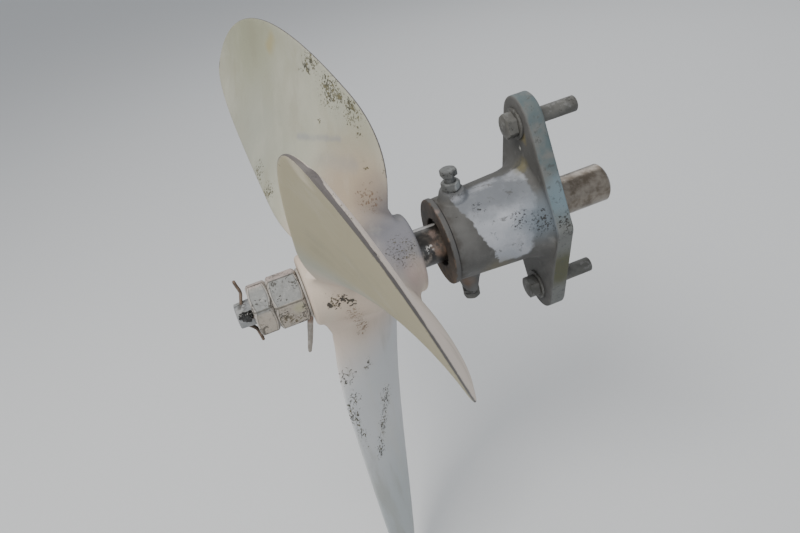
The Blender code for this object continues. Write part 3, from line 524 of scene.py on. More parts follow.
def shaft_finish():
    """Steel under black grease with painted glints and a pale line along its top that paints the steel's
    highlight as rubbed steel, and grey paint on the threaded end.
    """
    coat = Coat("shaft_finish", (220.0, 0.008))
    cloud = coat.noise(90.0, 6.0, 0.62)
    smudge = coat.noise(170.0, 5.0, 0.65, coat.stretched(1.0, 0.6, 0.6))
    coat.colour = coat.two_tone(cloud, 0.45, 0.7, (0.014, 0.012, 0.01), (0.085, 0.07, 0.058))
    smudges = (
        ((-0.1085, -0.0165, 0.004), 0.013, 0.36, 0.6, 0.85, (0.205, 0.135, 0.098)),
        ((-0.1095, -0.0084, 0.0153), 0.006, 0.34, 0.56, 0.6, (0.24, 0.175, 0.15)),
        ((-0.122, -0.0172, -0.001), 0.01, 0.42, 0.6, 0.75, (0.38, 0.33, 0.29)),
    )
    for point, reach, low, high, strength, tint in smudges:
        coat.paint(coat.near(point, reach, 0.8) * coat.ramp(smudge, low, high) * strength, tint)
    # Painted glints: pale spots on the grease that stand in for highlights.
    painted_glint = coat.near((-0.1165, -0.016, 0.0065), 0.006, 0.7) * coat.ramp(coat.noise(520.0, 3.0), 0.52, 0.58)
    coat.paint(painted_glint * 0.9, (0.62, 0.61, 0.59))
    streak = coat.streak((-0.115, -0.0168, 0.005), (-0.114, -0.0172, -0.004), 0.0022, 0.6)
    coat.paint(streak * 0.95, (0.006, 0.006, 0.006))
    # Painted highlight: a pale, partly metallic line along the top stands in for the steel's highlight, as if
    # rubbed bright.
    painted_highlight_line = coat.streak((-0.1284, 0.003, 0.0173), (-0.1049, 0.003, 0.0173), 0.0034, 0.5, coat.place)
    coat.paint(painted_highlight_line * 0.9, (0.56, 0.55, 0.54))
    inboard = coat.ramp(coat.part_of("X"), -0.004, 0.004)
    coat.paint(inboard, coat.two_tone(cloud, 0.35, 0.65, (0.11, 0.09, 0.07), (0.23, 0.205, 0.175)))
    stub = coat.fall(coat.part_of("X"), -0.2735, -0.2725)
    paint = coat.two_tone(cloud, 0.35, 0.65, (0.175, 0.185, 0.195), (0.28, 0.28, 0.275))
    dark_top = coat.near((-0.2804, -0.0025, 0.0113), 0.008, 0.8) * coat.ramp(coat.noise(350.0), 0.44, 0.52)
    paint = coat.mix(dark_top * 0.85, paint, (0.04, 0.038, 0.035))
    rust = coat.near((-0.2745, -0.0112, 0.004), 0.0045, 0.8)
    coat.paint(stub, coat.mix(rust * 0.8, paint, (0.17, 0.075, 0.03)))
    metal = (inboard * 0.7).or_more(painted_highlight_line * 0.5) * (1 - stub)
    return coat.finish(0.28 + stub * 0.34, metal, cloud, 0.0004)


def black_grease():
    """Glossy black grease."""
    coat = Coat("black_grease")
    lumps = coat.noise(500.0, 3.0, 0.5)
    coat.colour = coat.mix(lumps, (0.006, 0.006, 0.006), (0.018, 0.016, 0.014))
    return coat.finish(0.16 + lumps * 0.12, 0.0, lumps, 0.0003)


def tab_washer_finish():
    """Paint on the ring, and a bare greyish tab with a rusty root."""
    coat = Coat("tab_washer_finish", (160.0, 0.005))
    cloud = coat.noise(120.0, 6.0, 0.62)
    coat.colour = coat.two_tone(cloud, 0.35, 0.65, (0.26, 0.235, 0.205), (0.4, 0.365, 0.325))
    coat.paint(coat.fall(coat.from_axis(), 0.02, 0.023) * 0.8, (0.38, 0.36, 0.33))
    coat.paint_spots(((-0.23, 0.0, -0.027), 0.007, 0.7, 0.75, (0.17, 0.085, 0.045)))
    across_tab = coat.part_of("X", coat.borders) + coat.part_of("Z") * -0.36
    coat.paint(coat.ramp(across_tab, -0.22, -0.2185) * 0.35, (0.15, 0.13, 0.11))
    return coat.finish(0.5 + cloud * 0.25, 0.1, cloud, 0.0004)


def rusty_steel():
    """Brown rust on bare steel."""
    coat = Coat("rusty_steel")
    cloud = coat.noise(180.0, 6.0, 0.65)
    coat.colour = coat.two_tone(cloud, 0.38, 0.64, (0.07, 0.05, 0.036), (0.165, 0.12, 0.088))
    return coat.finish(0.62 + cloud * 0.2, 0.2, cloud, 0.0004)


def liner_rubber():
    """Black water-lubricated rubber."""
    coat = Coat("liner_rubber")
    grain = coat.noise(600.0, 4.0, 0.6)
    coat.colour = coat.two_tone(coat.noise(80.0), 0.4, 0.6, (0.012, 0.012, 0.012), (0.03, 0.028, 0.026))
    return coat.finish(0.6 + grain * 0.2, 0.0, grain, 0.0002)


def floor_paper():
    """Plain pale studio paper."""
    coat = Coat("floor_paper")
    coat.colour = coat.mix(coat.noise(300.0, 2.0), (0.6, 0.61, 0.62), (0.62, 0.63, 0.64))
    return coat.finish(0.9)


def held(value, low=0.0, high=1.0):
    return min(max(value, low), high)


def eased(share):
    """The same share, with a soft start and end."""
    return share * share * (3 - 2 * share)


def looped(items):
    """Each item with the next one, and the last with the first."""
    return zip(items, items[1:] + items[:1])


def around_axis(radius, angle):
    """The y and z of a point at a radius and an angle, which starts at +Y and turns to +Z."""
    return radius * cos(angle), radius * sin(angle)


def even_angles(steps):
    return [2 * pi * step / steps for step in range(steps)]


def skin(shape, outlines, closed=False):
    """Join outlines of points that lie one after another into a surface, and give its rings of corners."""
    rings = [[shape.verts.new(point) for point in outline] for outline in outlines]
    for low, high in looped(rings) if closed else zip(rings, rings[1:]):
        for (a, d), (b, c) in looped(list(zip(low, high))):
            shape.faces.new((a, b, c, d))
    return rings


def fan(shape, ring, point):
    """Close a ring of corners to a point."""
    middle = shape.verts.new(point)
    for a, b in looped(ring):
        shape.faces.new((a, b, middle))
    return middle


def rounded(corners, steps):
    """Points round a closed outline of (x, radius, rounding) corners."""
    points = []
    for index, (x, radius, rounding) in enumerate(corners):
        here = Vector((x, radius))
        if rounding == 0:
            points.append(here)
            continue
        back = (Vector(corners[index - 1][:2]) - here).normalized()
        onward = (Vector(corners[(index + 1) % len(corners)][:2]) - here).normalized()
        reach = rounding / tan(back.angle(onward) / 2)
        start, end = here + back * reach, here + onward * reach
        for step in range(steps + 1):
            share = step / steps
            points.append(start.lerp(here, share).lerp(here.lerp(end, share), share))
    return points


def turned(outline, angles, closed=False, reshape=None):
    """A shape turned about X; reshape(x, radius, angle) may give each point another radius."""
    def point(x, radius, angle):
        out = reshape(x, radius, angle) if reshape and radius > 0 else radius
        return (x, *around_axis(out, angle))

    shape = bmesh.new()
    skin(shape, [[point(x, radius, angle) for angle in angles] for x, radius in outline], closed)
    bmesh.ops.remove_doubles(shape, verts=shape.verts, dist=1e-6)
    return shape


def ring_of(corners, sides, steps=5):
    """A ring turned about X from its section's (x, radius, rounding) corners."""
    return turned(rounded(corners, steps), even_angles(sides), closed=True)


def flat_ring(aft, forward, bore, outer, forward_edge, sides):
    """A washer, its outer edge rounded by SMALL_EDGE aft and by forward_edge forward."""
    bore_edge = 0.0002
    return ring_of([
        (aft, bore, bore_edge),
        (aft, outer, SMALL_EDGE),
        (forward, outer, forward_edge),
        (forward, bore, bore_edge),
    ], sides)


def mesh_of(name, shape, material):
    mesh = bpy.data.meshes.new(name)
    shape.to_mesh(mesh)
    shape.free()
    mesh.materials.append(material)
    return mesh


def put_in_scene(name, data):
    made = bpy.data.objects.new(name, data)
    bpy.context.scene.collection.objects.link(made)
    return made


def piece(name, shape, material, body, stands_for, sharp=35.0):
    """Turn a shape made about the shaft's axis into a piece that rides on a body."""
    bmesh.ops.recalc_face_normals(shape, faces=shape.faces)
    bmesh.ops.translate(shape, verts=shape.verts, vec=AXIS)
    mesh = mesh_of(name, shape, material)
    mesh.shade_smooth()
    mesh.set_sharp_from_angle(angle=radians(sharp))
    made = put_in_scene(name, mesh)
    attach(made, body)
    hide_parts(*stands_for)


def hub_radius(x):
    """The hub's outer radius at a place along the shaft, with its rounded ends."""
    x = held(x, HUB_AFT_X, HUB_FORWARD_X)
    aft = x < HUB_MIDDLE_X
    end_x, end_radius = (HUB_AFT_X, HUB_AFT_RADIUS) if aft else (HUB_FORWARD_X, HUB_FORWARD_RADIUS)
    share = (x - HUB_MIDDLE_X) / (end_x - HUB_MIDDLE_X)
    radius = HUB_MIDDLE_RADIUS + (end_radius - HUB_MIDDLE_RADIUS) * share
    depth = HUB_ROUNDING - min(x - HUB_AFT_X, HUB_FORWARD_X - x)
    if depth > 0:
        radius -= HUB_ROUNDING - sqrt(HUB_ROUNDING ** 2 - depth ** 2)
    return radius


def blade_width(radius, edge):
    """Width from the middle line to an edge: it grows from the root, then closes in a round arc."""
    root, widest, widest_at, roundness = edge
    if radius < widest_at:
        share = max(radius - BLADE_ROOT_AT, 0.0) / (widest_at - BLADE_ROOT_AT)
        return root + (widest - root) * sin(pi / 2 * share)
    share = (radius - widest_at) / (TIP_RADIUS - widest_at)
    return widest * sqrt(max(1 - share ** roundness, 0.0))


def blade_sweep(radius):
    """How far along the chord the middle line lies behind the blade's root."""
    share = max(radius - BLADE_ROOT_AT, 0.0) / (TIP_RADIUS - BLADE_ROOT_AT)
    return SWEEP * share + SWEEP_GROWTH * share ** 2


def blade_point(angle, radius, along, off):
    """A point of a blade: a distance along the chord and a distance off its aft face."""
    pitch = PITCH_AT_AXIS + (PITCH_AT_TIP - PITCH_AT_AXIS) * radius / TIP_RADIUS
    slope = atan2(pitch, 2 * pi * radius)
    turn = angle + (along * cos(slope) - off * sin(slope)) / radius
    rake = BLADE_RAKE * max(radius - BLADE_ROOT_AT, 0.0)
    x = BLADE_MIDDLE_X + rake + along * sin(slope) + off * cos(slope)
    return Vector((x, *around_axis(radius, turn)))


def section_points(radius):
    """(along, off, place, side) round a section before the root's fillet; side is 1 in front, 0 aft."""
    lead = blade_width(radius, LEADING_EDGE) - blade_sweep(radius)
    trail = -blade_width(radius, TRAILING_EDGE) - blade_sweep(radius)
    share = (radius - HUB_MIDDLE_RADIUS) / (TIP_RADIUS - HUB_MIDDLE_RADIUS)
    thick = ROOT_THICKNESS + (TIP_THICKNESS - ROOT_THICKNESS) * share
    aft, forward = [], []
    for step in range(BLADE_SIDES + 1):
        place = -cos(pi * step / BLADE_SIDES)
        along = (lead + trail) / 2 + place * (lead - trail) / 2
        hollow = CAMBER * (lead - trail) * (1 - place ** 2)
        crown = (thick - EDGE_THICKNESS) * (1 - place ** 2)
        nose = sqrt(max(1 - abs(place) ** EDGE_SQUARENESS, 0.0))
        inset = EDGE_THICKNESS / 2 * (1 - nose)
        aft.append((along, hollow + inset, place, 0.0))
        forward.append((along, hollow + EDGE_THICKNESS + crown - inset, place, 1.0))
    return aft + forward[-2:0:-1]


def blade_ring(angle, height):
    """Points round a blade at a height over the hub, spread outwards near it by the root's fillet."""
    radius = HUB_MIDDLE_RADIUS + height
    points = section_points(radius)
    free = eased(held(height / ROOT_BLEND))
    ring = []
    for index, (along, off, place, side) in enumerate(points):
        ahead = points[(index + 1) % len(points)]
        behind = points[index - 1]
        run, rise = ahead[0] - behind[0], ahead[1] - behind[1]
        length = hypot(run, rise) or 1.0
        fillet = EDGE_FILLET + (FACE_FILLET - EDGE_FILLET) * (1 - place ** 2)
        left = fillet - held(height, 0.0, fillet)
        spread = fillet - sqrt(fillet ** 2 - left ** 2) - min(height, 0.0) * 4
        out_along, out_off = along + spread * rise / length, off - spread * run / length
        out = blade_point(angle, radius, out_along, out_off)
        for _ in range(3):
            followed = hub_radius(out.x) + height
            out = blade_point(angle, followed + (radius - followed) * free, out_along, out_off)
        if height < HUB_KEEP_HEIGHT:
            out.x = held(out.x, HUB_AFT_X + HUB_KEEP, HUB_FORWARD_X - HUB_KEEP)
        ring.append((out, place, side))
    return ring


def add_blade(shape, angle, rim, forward_side):
    """One blade from just under the hub's surface to its round tip."""
    start, root_rings, outer_rings = 0.0006, 22, 78
    root_crowding, tip_crowding = 1.4, 1.9
    heights = [-start, 0.0, 0.0001, 0.0003]
    reach = TIP_RADIUS - HUB_MIDDLE_RADIUS - ROOT_BLEND
    for step in range(root_rings):
        heights.append(start + (ROOT_BLEND - start) * (step / root_rings) ** root_crowding)
    for step in range(outer_rings):
        heights.append(ROOT_BLEND + reach * (1 - (1 - step / outer_rings) ** tip_crowding))
    stations = [blade_ring(angle, height) for height in heights]
    rings = skin(shape, [[point for point, _, _ in station] for station in stations])
    for height, station, ring in zip(heights, stations, rings):
        radius = HUB_MIDDLE_RADIUS + height
        half_chord = (blade_width(radius, LEADING_EDGE) + blade_width(radius, TRAILING_EDGE)) / 2
        outer = held((radius - TRAILING_WEAR_FROM) / (TRAILING_WEAR_FULL - TRAILING_WEAR_FROM))
        for vert, (_, place, side) in zip(ring, station):
            inward = min((1 - abs(place)) * half_chord, TIP_RADIUS - radius)
            wear = max(0.0, 1 - inward / RIM_WIDTH) * (1.0 if place > 0 else outer)
            vert[rim] = wear if radius > LEADING_WEAR_FROM else 0.0
            vert[forward_side] = side
    tip = blade_point(angle, TIP_RADIUS, -blade_sweep(TIP_RADIUS), EDGE_THICKNESS / 2)
    fan(shape, rings[-1], tip)[rim] = 1.0


def make_propeller(coat):
    """The hub and its three blades, which are one casting."""
    shape = ring_of([
        (HUB_AFT_X, HUB_AFT_BORE, SMALL_EDGE),
        (HUB_AFT_X, HUB_AFT_RADIUS, HUB_ROUNDING),
        (HUB_MIDDLE_X, HUB_MIDDLE_RADIUS, 0.012),
        (HUB_FORWARD_X, HUB_FORWARD_RADIUS, HUB_ROUNDING),
        (HUB_FORWARD_X, HUB_FORWARD_BORE, SMALL_EDGE),
    ], 144, steps=8)
    rim = shape.verts.layers.float.new("rim")
    forward_side = shape.verts.layers.float.new("forward_side")
    for index in range(BLADES):
        add_blade(shape, BLADE_A_ANGLE + 2 * pi * index / BLADES, rim, forward_side)
    nodes = ["propeller_hub", "blade_1", "blade_2", "blade_3"]
    piece("propeller_casting", shape, coat, TURNING, nodes, 60.0)


def corner_radius(across):
    """From the middle of a hexagon to its corners."""
    return across / 2 / cos(pi / 6)


def hexagon_radius(across, angle, turn):
    """The radius of a hexagon at an angle, with its corners a little worn."""
    sharpness, regain = 80, 1.0085
    reach = across / 2 / cos((angle - turn) % (pi / 3) - pi / 6)
    limit = corner_radius(across) - 0.01 * across
    return (reach ** -sharpness + limit ** -sharpness) ** (-1 / sharpness) * regain


def hexagon_angles(turn):
    """Angles that crowd towards a hexagon's six corners."""
    angles = []
    for corner in range(6):
        for step in range(16):
            share = step / 8 - 1
            crowded = copysign(1 - (1 - abs(share)) ** 1.7, share)
            angles.append(turn + pi / 3 * (corner + 0.5) + pi / 6 * crowded)
    return angles


def chamfer(x, way, face, corner, drop, steps):
    """Points of a hexagon's turned end, from its face at x out to its corners."""
    shares = [step / steps for step in range(1, steps + 1)]
    return [(x + way * drop * share, face + (corner - face) * share) for share in shares]


def nut_outline(low, high, bore, across):
    """Half section of a nut, with both ends turned to a wide chamfer."""
    face, corner = across / 2 * NUT_FACE_SHARE, corner_radius(across)
    drop = (corner - face) * tan(NUT_CHAMFER)
    straight = high - low - 2 * drop
    outline = [(low, bore + SMALL_EDGE), (low, face)] + chamfer(low, 1, face, corner, drop, 8)
    outline += [(low + drop + straight * step / 40, corner) for step in range(1, 40)]
    outline += chamfer(high, -1, face, corner, drop, 8)[::-1] + [(high, face)]
    outline += [(high, bore + SMALL_EDGE), (high - SMALL_EDGE, bore), (low + SMALL_EDGE, bore)]
    return outline


def nut_shape(low, high, bore, across, turn):
    """A hexagon nut along X, which keeps at its points how near each is to a corner and to a chamfer."""
    def reshape(x, radius, angle):
        return min(radius, hexagon_radius(across, angle, turn)) if radius > bore + 0.001 else radius

    shape = turned(nut_outline(low, high, bore, across), hexagon_angles(turn), closed=True, reshape=reshape)
    corner_layer = shape.verts.layers.float.new("corner")
    chamfer_layer = shape.verts.layers.float.new("chamfer")
    for vert in shape.verts:
        radius = hypot(vert.co.y, vert.co.z)
        if radius < bore + 0.002:
            continue
        angle = atan2(vert.co.z, vert.co.y)
        off_corner = abs((angle - turn + pi / 6) % (pi / 3) - pi / 6)
        vert[corner_layer] = max(0.0, 1 - off_corner * corner_radius(across) / CORNER_WEAR)
        chamfer_depth = (radius - across / 2 * NUT_FACE_SHARE) * tan(NUT_CHAMFER)
        from_end = min(vert.co.x - low, high - vert.co.x) - chamfer_depth
        vert[chamfer_layer] = held(1 - from_end / CHAMFER_WEAR)
    return shape


def make_nuts(coat):
    nuts = (
        ("propeller_nut", NUT_AFT_X, NUT_FORWARD_X, NUT_TURN),
        ("lock_nut", LOCK_AFT_X, LOCK_FORWARD_X, LOCK_TURN),
    )
    for name, low, high, turn in nuts:
        shape = nut_shape(low, high, THREAD_RADIUS + TOUCH_GAP, NUT_ACROSS, turn)
        piece("painted_" + name, shape, coat, TURNING, [name])


def tube(shape, path, radii, sides=16):
    """A round rod along a path, closed at its ends."""
    outlines = []
    side = Vector((0.0, 1.0, 0.0))
    for index, (point, radius) in enumerate(zip(path, radii)):
        ahead = path[min(index + 1, len(path) - 1)] - path[max(index - 1, 0)]
        ahead.normalize()
        first = (side - ahead * side.dot(ahead)).normalized()
        second = ahead.cross(first)
        ways = [first * cos(angle) + second * sin(angle) for angle in even_angles(sides)]
        outlines.append([point + way * radius for way in ways])
    rings = skin(shape, outlines)
    fan(shape, rings[0], path[0])
    fan(shape, rings[-1], path[-1])


def smooth_path(points, steps=10):
    """Points of a smooth curve through the given points."""
    ends = [points[0] * 2 - points[1]] + points + [points[-1] * 2 - points[-2]]
    path = []
    for a, b, c, d in zip(ends, ends[1:], ends[2:], ends[3:]):
        for step in range(steps):
            t = step / steps
            path.append((b * 2 + (c - a) * t + (a * 2 - b * 5 + c * 4 - d) * t ** 2
                         + (b * 3 - a - c * 3 + d) * t ** 3) / 2)
    path.append(points[-1])
    return path


def make_shaft(coat):
    """The shaft: its painted end without the thread, the taper inside the hub and the bar forward of it."""
    outline = [
        (SHAFT_AFT_X, 0.0),
        (SHAFT_AFT_X, THREAD_RADIUS - 0.0022),
        (SHAFT_AFT_X + SMALL_EDGE, THREAD_RADIUS - 0.001),
        (LOCK_AFT_X + 0.004, THREAD_RADIUS),
        (HUB_AFT_X, THREAD_RADIUS),
        (HUB_AFT_X, TAPER_END_RADIUS),
        (HUB_FORWARD_X - 0.0005, SHAFT_RADIUS - 0.0002),
        (HUB_FORWARD_X, SHAFT_RADIUS - 0.0001),
    ]
    gap = RING_AFT_X - HUB_FORWARD_X
    outline += [(HUB_FORWARD_X + gap * step / 12, SHAFT_RADIUS) for step in range(1, 13)]
    end = 0.002
    outline += [(SHAFT_FORWARD_X - end, SHAFT_RADIUS), (SHAFT_FORWARD_X, SHAFT_RADIUS - end)]
    outline += [(SHAFT_FORWARD_X, 0.0)]
    shape = turned(outline, even_angles(96))
    piece("finished_shaft", shape, coat, TURNING, ["propeller_shaft"])


def make_grease(coat):
    """A lump of black grease on the side of the threaded end."""
    shape = bmesh.new()
    bmesh.ops.create_icosphere(shape, subdivisions=4, radius=1.0)
    middle = Vector((-0.2788, -0.0112, 0.0046))
    for vert in shape.verts:
        way = vert.co.normalized()
        lump = 1 + 0.45 * noise.noise(way * 1.9 + Vector((3.1, 0.4, 1.7))) + 0.22 * noise.noise(way * 5.0)
        vert.co = middle + Vector((way.x * 0.0056, way.y * 0.0026, way.z * 0.005)) * lump
    piece("grease_in_level_hole", shape, coat, TURNING, [])


def make_split_pin(coat):
    """Two legs side by side through the upright hole, leaning as they were bent."""
    shape = bmesh.new()
    for side in (-1, 1):
        y = side * 0.0009
        points = [Vector(place) for place in (
            (-0.2796, y + 0.006, 0.0301),
            (-0.2786, y + 0.006, 0.0245),
            (-0.2775, y + 0.005, 0.0185),
            (-0.2789, y + 0.002, 0.0145),
            (PIN_X, y, 0.01),
            (PIN_X, y, 0.0),
            (PIN_X, y, -0.011),
            (-0.278, y, -0.014),
            (-0.2753, y - 0.001, -0.0175),
            (-0.2743, y - 0.001, -0.024),
            (-0.2736, y + side * 0.0005, -0.0305),
        )]
        path = smooth_path(points)
        radii = [PIN_RADIUS] * len(path)
        radii[0] = radii[-1] = 0.0007
        tube(shape, path, radii)
    piece("bent_split_pin", shape, coat, TURNING, ["split_pin"])


def make_tab_washer(coat):
    """The ring under the nut with its long tab, twisted side on, hanging below it."""
    bore = THREAD_RADIUS + TOUCH_GAP
    shape = flat_ring(WASHER_AFT_X, WASHER_FORWARD_X, bore, WASHER_RADIUS, SMALL_EDGE, 120)
    # Down the tab: how far below the axis, its forward side, and its width along and across the shaft
    stations = (
        (0.019, -0.2271, 0.0019, 0.0068),
        (0.024, -0.2271, 0.0019, 0.0068),
        (0.0262, -0.2272, 0.0034, 0.0054),
        (0.029, -0.2277, 0.0056, 0.0032),
        (0.034, -0.2294, 0.0054, 0.0028),
        (0.043, -0.232, 0.005, 0.0027),
        (0.052, -0.2349, 0.0046, 0.0026),
        (0.057, -0.2369, 0.004, 0.0024),
        (0.0604, -0.2382, 0.0032, 0.0021),
        (0.0615, -0.2388, 0.002, 0.0014),
    )
    outlines = []
    for reach, forward, along, across in stations:
        outline = []
        for angle in even_angles(20):
            squared = 1 / (abs(cos(angle)) ** 4 + abs(sin(angle)) ** 4) ** 0.25
            x = forward - along / 2 + along / 2 * squared * cos(angle)
            outline.append((x, across / 2 * squared * sin(angle), -reach))
        outlines.append(outline)
    rings = skin(shape, outlines)
    shape.faces.new(rings[0])
    shape.faces.new(rings[-1])
    piece("painted_tab_washer", shape, coat, TURNING, ["tab_washer"])


def hull_of_lobes(arc_steps=24):
    """Corners round the flange: two bolt lobes and two flat sides, tight around four circles."""
    side = FLANGE_HALF_WIDTH - FLANGE_SIDE_RADIUS
    circles = [
        (side, 0.0, FLANGE_SIDE_RADIUS),
        (0.0, BOLT_FROM_AXIS, FLANGE_LOBE_RADIUS),
        (-side, 0.0, FLANGE_SIDE_RADIUS),
        (0.0, -BOLT_FROM_AXIS, FLANGE_LOBE_RADIUS),
    ]
    tangents = []
    for (y0, z0, r0), (y1, z1, r1) in looped(circles):
        gap = hypot(y1 - y0, z1 - z0)
        tangents.append(atan2(z1 - z0, y1 - y0) - acos((r0 - r1) / gap))
    points = []
    for index, (y, z, radius) in enumerate(circles):
        start, end = tangents[index - 1], tangents[index]
        sweep = (end - start) % (2 * pi)
        for step in range(arc_steps + 1):
            across, up = around_axis(radius, start + sweep * step / arc_steps)
            points.append((y + across, z + up))
    return points


def flange_reach(corners, angle):
    """How far the flange reaches from the shaft's axis at an angle."""
    across, up = around_axis(1.0, angle)
    best = 0.0
    for (y0, z0), (y1, z1) in looped(corners):
        run, rise = y1 - y0, z1 - z0
        cross = across * rise - up * run
        if abs(cross) < 1e-12:
            continue
        reach = (y0 * rise - z0 * run) / cross
        share = (y0 * up - z0 * across) / cross
        if reach > 0 and -1e-9 <= share <= 1 + 1e-9:
            best = max(best, reach)
    return best


def boss_lift(x, radius, angle):
    """Raise the barrel's surface to a screw boss: a short flat one above, a tall hollow cone below."""
    y, z = around_axis(radius, angle)
    distance = hypot(x - BOSS_X, y)
    steepness = abs(sin(angle))
    if steepness < 0.5 or distance > LOWER_BOSS_FOOT:
        return radius
    if z > 0:
        top = UPPER_BOSS_TOP
        share = eased(held((UPPER_BOSS_FOOT - distance) / UPPER_BOSS_SLOPE))
    else:
        top = LOWER_BOSS_TOP
        share = held((LOWER_BOSS_FOOT - distance) / LOWER_BOSS_SLOPE) ** LOWER_BOSS_HOLLOW
    return radius + (top / steepness - radius) * share


def barrel_stations():
    """(x, radius, share of the way to the flange's edge, inset) along the housing's outer skin."""
    bore = SLEEVE_OUTER + TOUCH_GAP
    start_x = BARREL_END_X + BARREL_EDGE
    length, growth = FLARE_START_X - start_x, BARREL_FORWARD_RADIUS - BARREL_AFT_RADIUS
    barrel = [(BARREL_END_X, bore), (BARREL_END_X, BARREL_AFT_RADIUS - BARREL_EDGE)]
    barrel += [(BARREL_END_X + BARREL_EDGE / 3, BARREL_AFT_RADIUS - BARREL_EDGE / 3)]
    barrel += [(start_x + length * step / 72, BARREL_AFT_RADIUS + growth * step / 72) for step in range(73)]
    for step in range(1, 17):
        angle = pi / 2 * step / 16
        lift = FLARE_HEIGHT * (1 - cos(angle))
        barrel.append((FLARE_START_X + FLARE_LENGTH * sin(angle), BARREL_FORWARD_RADIUS + lift))
    stations = [(x, radius, 0.0, 0.0) for x, radius in barrel]
    edge = BARREL_FORWARD_RADIUS + FLARE_HEIGHT
    stations += [(FLANGE_FACE_X, edge, step / 10, FLANGE_ROUNDING) for step in range(1, 11)]
    for step in range(1, 6):
        forward, out = around_axis(FLANGE_ROUNDING, pi / 2 * step / 5)
        stations.append((FLANGE_FACE_X + FLANGE_ROUNDING - forward, edge, 1.0, FLANGE_ROUNDING - out))
    rim_x = FLANGE_FACE_X + FLANGE_ROUNDING
    stations += [(rim_x - (rim_x + FLANGE_BACK_EDGE) * step / 6, edge, 1.0, 0.0) for step in range(1, 7)]
    return stations + [(0.0, edge, 1.0, FLANGE_BACK_EDGE), (0.0, bore, 0.0, 0.0)]


def make_housing(coat):
    """The cast housing in one skin: barrel, bosses, flare, flange and bore."""
    corners = hull_of_lobes()
    angles = even_angles(360)
    reaches = [flange_reach(corners, angle) for angle in angles]
    outlines = []
    for x, radius, share, inset in barrel_stations():
        outs = [radius + share * (reach - inset - radius) for reach in reaches]
        if BARREL_END_X + BARREL_EDGE / 2 < x < FLARE_START_X:
            outs = [boss_lift(x, out, angle) for out, angle in zip(outs, angles)]
        outlines.append([(x, *around_axis(out, angle)) for out, angle in zip(outs, angles)])
    shape = bmesh.new()
    skin(shape, outlines, closed=True)
    piece("cast_housing", shape, coat, STILL, ["bearing_housing"])


def make_bearing(bronze, rubber):
    """The sleeve with its end ring, and the fluted liner in it."""
    shape = ring_of([
        (0.0, SLEEVE_INNER, 0.0004),
        (0.0, SLEEVE_OUTER, 0.0004),
        (RING_FORWARD_X, SLEEVE_OUTER, 0.0),
        (RING_FORWARD_X, RING_RADIUS, 0.0008),
        (RING_AFT_X, RING_RADIUS, 0.0014),
        (RING_AFT_X, SLEEVE_INNER, 0.001),
    ], 160)
    piece("bronze_sleeve", shape, bronze, STILL, ["bearing_sleeve"])

    def flutes(x, radius, angle):
        pitch = 2 * pi / FLUTES
        off = (angle - pitch / 2) % pitch
        off = min(off, pitch - off) * LINER_INNER
        if radius > LINER_INNER + 0.0005 or off > FLUTE_RADIUS:
            return radius
        return radius + sqrt(FLUTE_RADIUS ** 2 - off ** 2)

    outline = [(0.0, LINER_INNER), (0.0, LINER_OUTER), (LINER_AFT_X, LINER_OUTER), (LINER_AFT_X, LINER_INNER)]
    shape = turned(outline, even_angles(320), closed=True, reshape=flutes)
    piece("fluted_liner", shape, rubber, STILL, ["rubber_liner"])


def stand_up(shape, way):
    """Turn a shape made along X to stand on the shaft's axis at the bosses, up or down."""
    turn = Matrix.Rotation(-way * pi / 2, 4, "Y")
    bmesh.ops.transform(shape, matrix=Matrix.Translation((BOSS_X, 0, 0)) @ turn, verts=shape.verts)
    return shape


def headed_screw(radius, across, tip, neck, top, turn):
    """A hexagon-headed screw along X, from its tip to the top of its head."""
    face, corner = across / 2 * HEAD_FACE_SHARE, corner_radius(across)
    drop = (corner - face) * tan(HEAD_CHAMFER)
    way = 1 if top > tip else -1
    outline = [(tip, 0.0), (tip, radius - 0.0008), (tip + way * 0.0008, radius), (neck, radius), (neck, face)]
    outline += [(neck + way * 0.0002, corner)] + chamfer(top, -way, face, corner, drop, 6)[::-1]
    outline += [(top, face), (top, 0.0)]

    def reshape(x, out, angle):
        return min(out, hexagon_radius(across, angle, turn)) if out > radius + 0.0005 else out

    return turned(outline, hexagon_angles(turn), reshape=reshape)


def make_set_screws(coat):
    """In each boss a set screw that reaches to the sleeve, with a lock nut on the boss."""
    tip = SLEEVE_OUTER - 0.0012
    bore = SET_SCREW_RADIUS + TOUCH_GAP
    screws = (("upper", 1, UPPER_BOSS_TOP, 0.0075, 0.0056), ("lower", -1, LOWER_BOSS_TOP, 0.0036, 0.0005))
    for word, way, boss_top, nut_height, neck in screws:
        nut_low = boss_top + TOUCH_GAP
        nut_high = nut_low + nut_height
        head = nut_high + neck
        screw = headed_screw(SET_SCREW_RADIUS, SET_HEAD_ACROSS, tip, head, head + SET_HEAD_HEIGHT, 0.0)
        nut = nut_shape(nut_low, nut_high, bore, SET_NUT_ACROSS, SET_NUT_TURN)
        for kind, node, shape in (("screw", "set_screw", screw), ("lock_nut", "lock_nut", nut)):
            stands_for = [f"{word}_{node}"]
            piece(f"{word}_painted_{kind}", stand_up(shape, way), coat, STILL, stands_for)


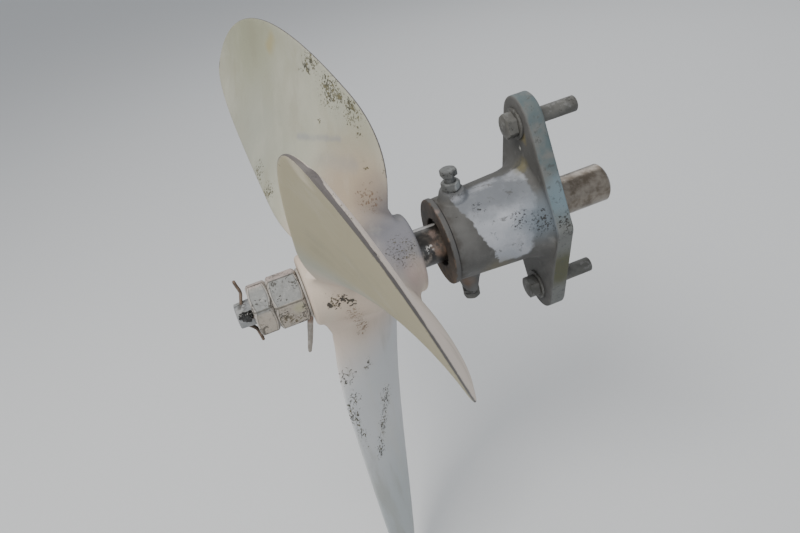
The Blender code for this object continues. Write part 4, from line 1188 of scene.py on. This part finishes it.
def make_flange_bolts(coat):
    """The two bolts through the flange's lobes, each with a washer."""
    washer_face = FLANGE_FACE_X - TOUCH_GAP
    washer_back = washer_face - WASHER_THICKNESS
    head = washer_back - TOUCH_GAP
    top = head - BOLT_HEAD_HEIGHT
    bore = BOLT_RADIUS + 0.0005
    for word, way in (("upper", 1), ("lower", -1)):
        bolt = headed_screw(BOLT_RADIUS, BOLT_HEAD_ACROSS, BOLT_END_X, head, top, BOLT_TURN)
        washer = flat_ring(washer_back, washer_face, bore, WASHER_OUTER, 0.0003, 72)
        for kind, shape in (("bolt", bolt), ("washer", washer)):
            bmesh.ops.translate(shape, verts=shape.verts, vec=(0, 0, way * BOLT_FROM_AXIS))
            piece(f"{word}_painted_{kind}", shape, coat, STILL, [f"{word}_flange_{kind}"])


def set_floor_and_lights():
    shape = bmesh.new()
    bmesh.ops.create_grid(shape, x_segments=8, y_segments=8, size=FLOOR_SIZE)
    floor = put_in_scene("studio_floor", mesh_of("studio_floor", shape, floor_paper()))
    floor.location = (0, 0, FLOOR_HEIGHT)
    world = bpy.data.worlds.new("pale_room")
    world.use_nodes = True
    background = world.node_tree.nodes["Background"]
    background.inputs["Color"].default_value = (0.93, 0.96, 1.0, 1.0)
    background.inputs["Strength"].default_value = 0.55
    bpy.context.scene.world = world
    lit_point = Vector((-0.18, 0.0, 0.05))
    lights = (
        ("key_light", (-0.9, -0.5, 1.6), 1.2, 34.0, (1.0, 0.97, 0.92)),
        ("fill_light", (-0.3, -1.8, 0.5), 1.6, 10.0, (0.9, 0.95, 1.0)),
        ("back_light", (0.9, 1.3, 1.2), 1.4, 12.0, (1.0, 1.0, 1.0)),
    )
    for name, place, size, power, colour in lights:
        lamp = bpy.data.lights.new(name, "AREA")
        lamp.size = size
        lamp.energy = power
        lamp.color = colour
        made = put_in_scene(name, lamp)
        made.location = place
        made.rotation_euler = (lit_point - Vector(place)).to_track_quat("-Z", "Y").to_euler()


def set_camera():
    """A camera at the photograph's viewing angle, tilted as the picture is."""
    azimuth, elevation, roll = (radians(angle) for angle in (-11.506, 31.747, -14.237))
    ahead = Vector((-sin(azimuth) * cos(elevation), cos(azimuth) * cos(elevation), -sin(elevation)))
    level = Vector((cos(azimuth), sin(azimuth), 0.0))
    upward = level.cross(ahead)
    right = level * cos(roll) + upward * sin(roll)
    top = upward * cos(roll) - level * sin(roll)
    lens = bpy.data.cameras.new("camera")
    lens.sensor_width = 36.0
    lens.lens = 33.43
    lens.shift_x, lens.shift_y = 0.0032, -0.0215
    camera = put_in_scene("camera", lens)
    turn = Matrix((right, top, -ahead)).transposed()
    camera.matrix_world = Matrix.Translation((-0.24927, -0.53516, 0.40055)) @ turn.to_4x4()
    bpy.context.scene.camera = camera


def dress(node, material):
    """Give a carried-over CAD node its finish."""
    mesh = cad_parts[node].data
    mesh.materials.clear()
    mesh.materials.append(material)


set_camera()
set_floor_and_lights()
dark_paint = bearing_fastener_coat()
steel = shaft_finish()
make_propeller(propeller_coat())
make_nuts(nut_coat())
make_shaft(steel)
make_grease(black_grease())
make_split_pin(rusty_steel())
make_tab_washer(tab_washer_finish())
make_housing(housing_coat())
make_bearing(stained_bronze(), liner_rubber())
make_set_screws(dark_paint)
make_flange_bolts(dark_paint)
dress("shaft_key", steel)
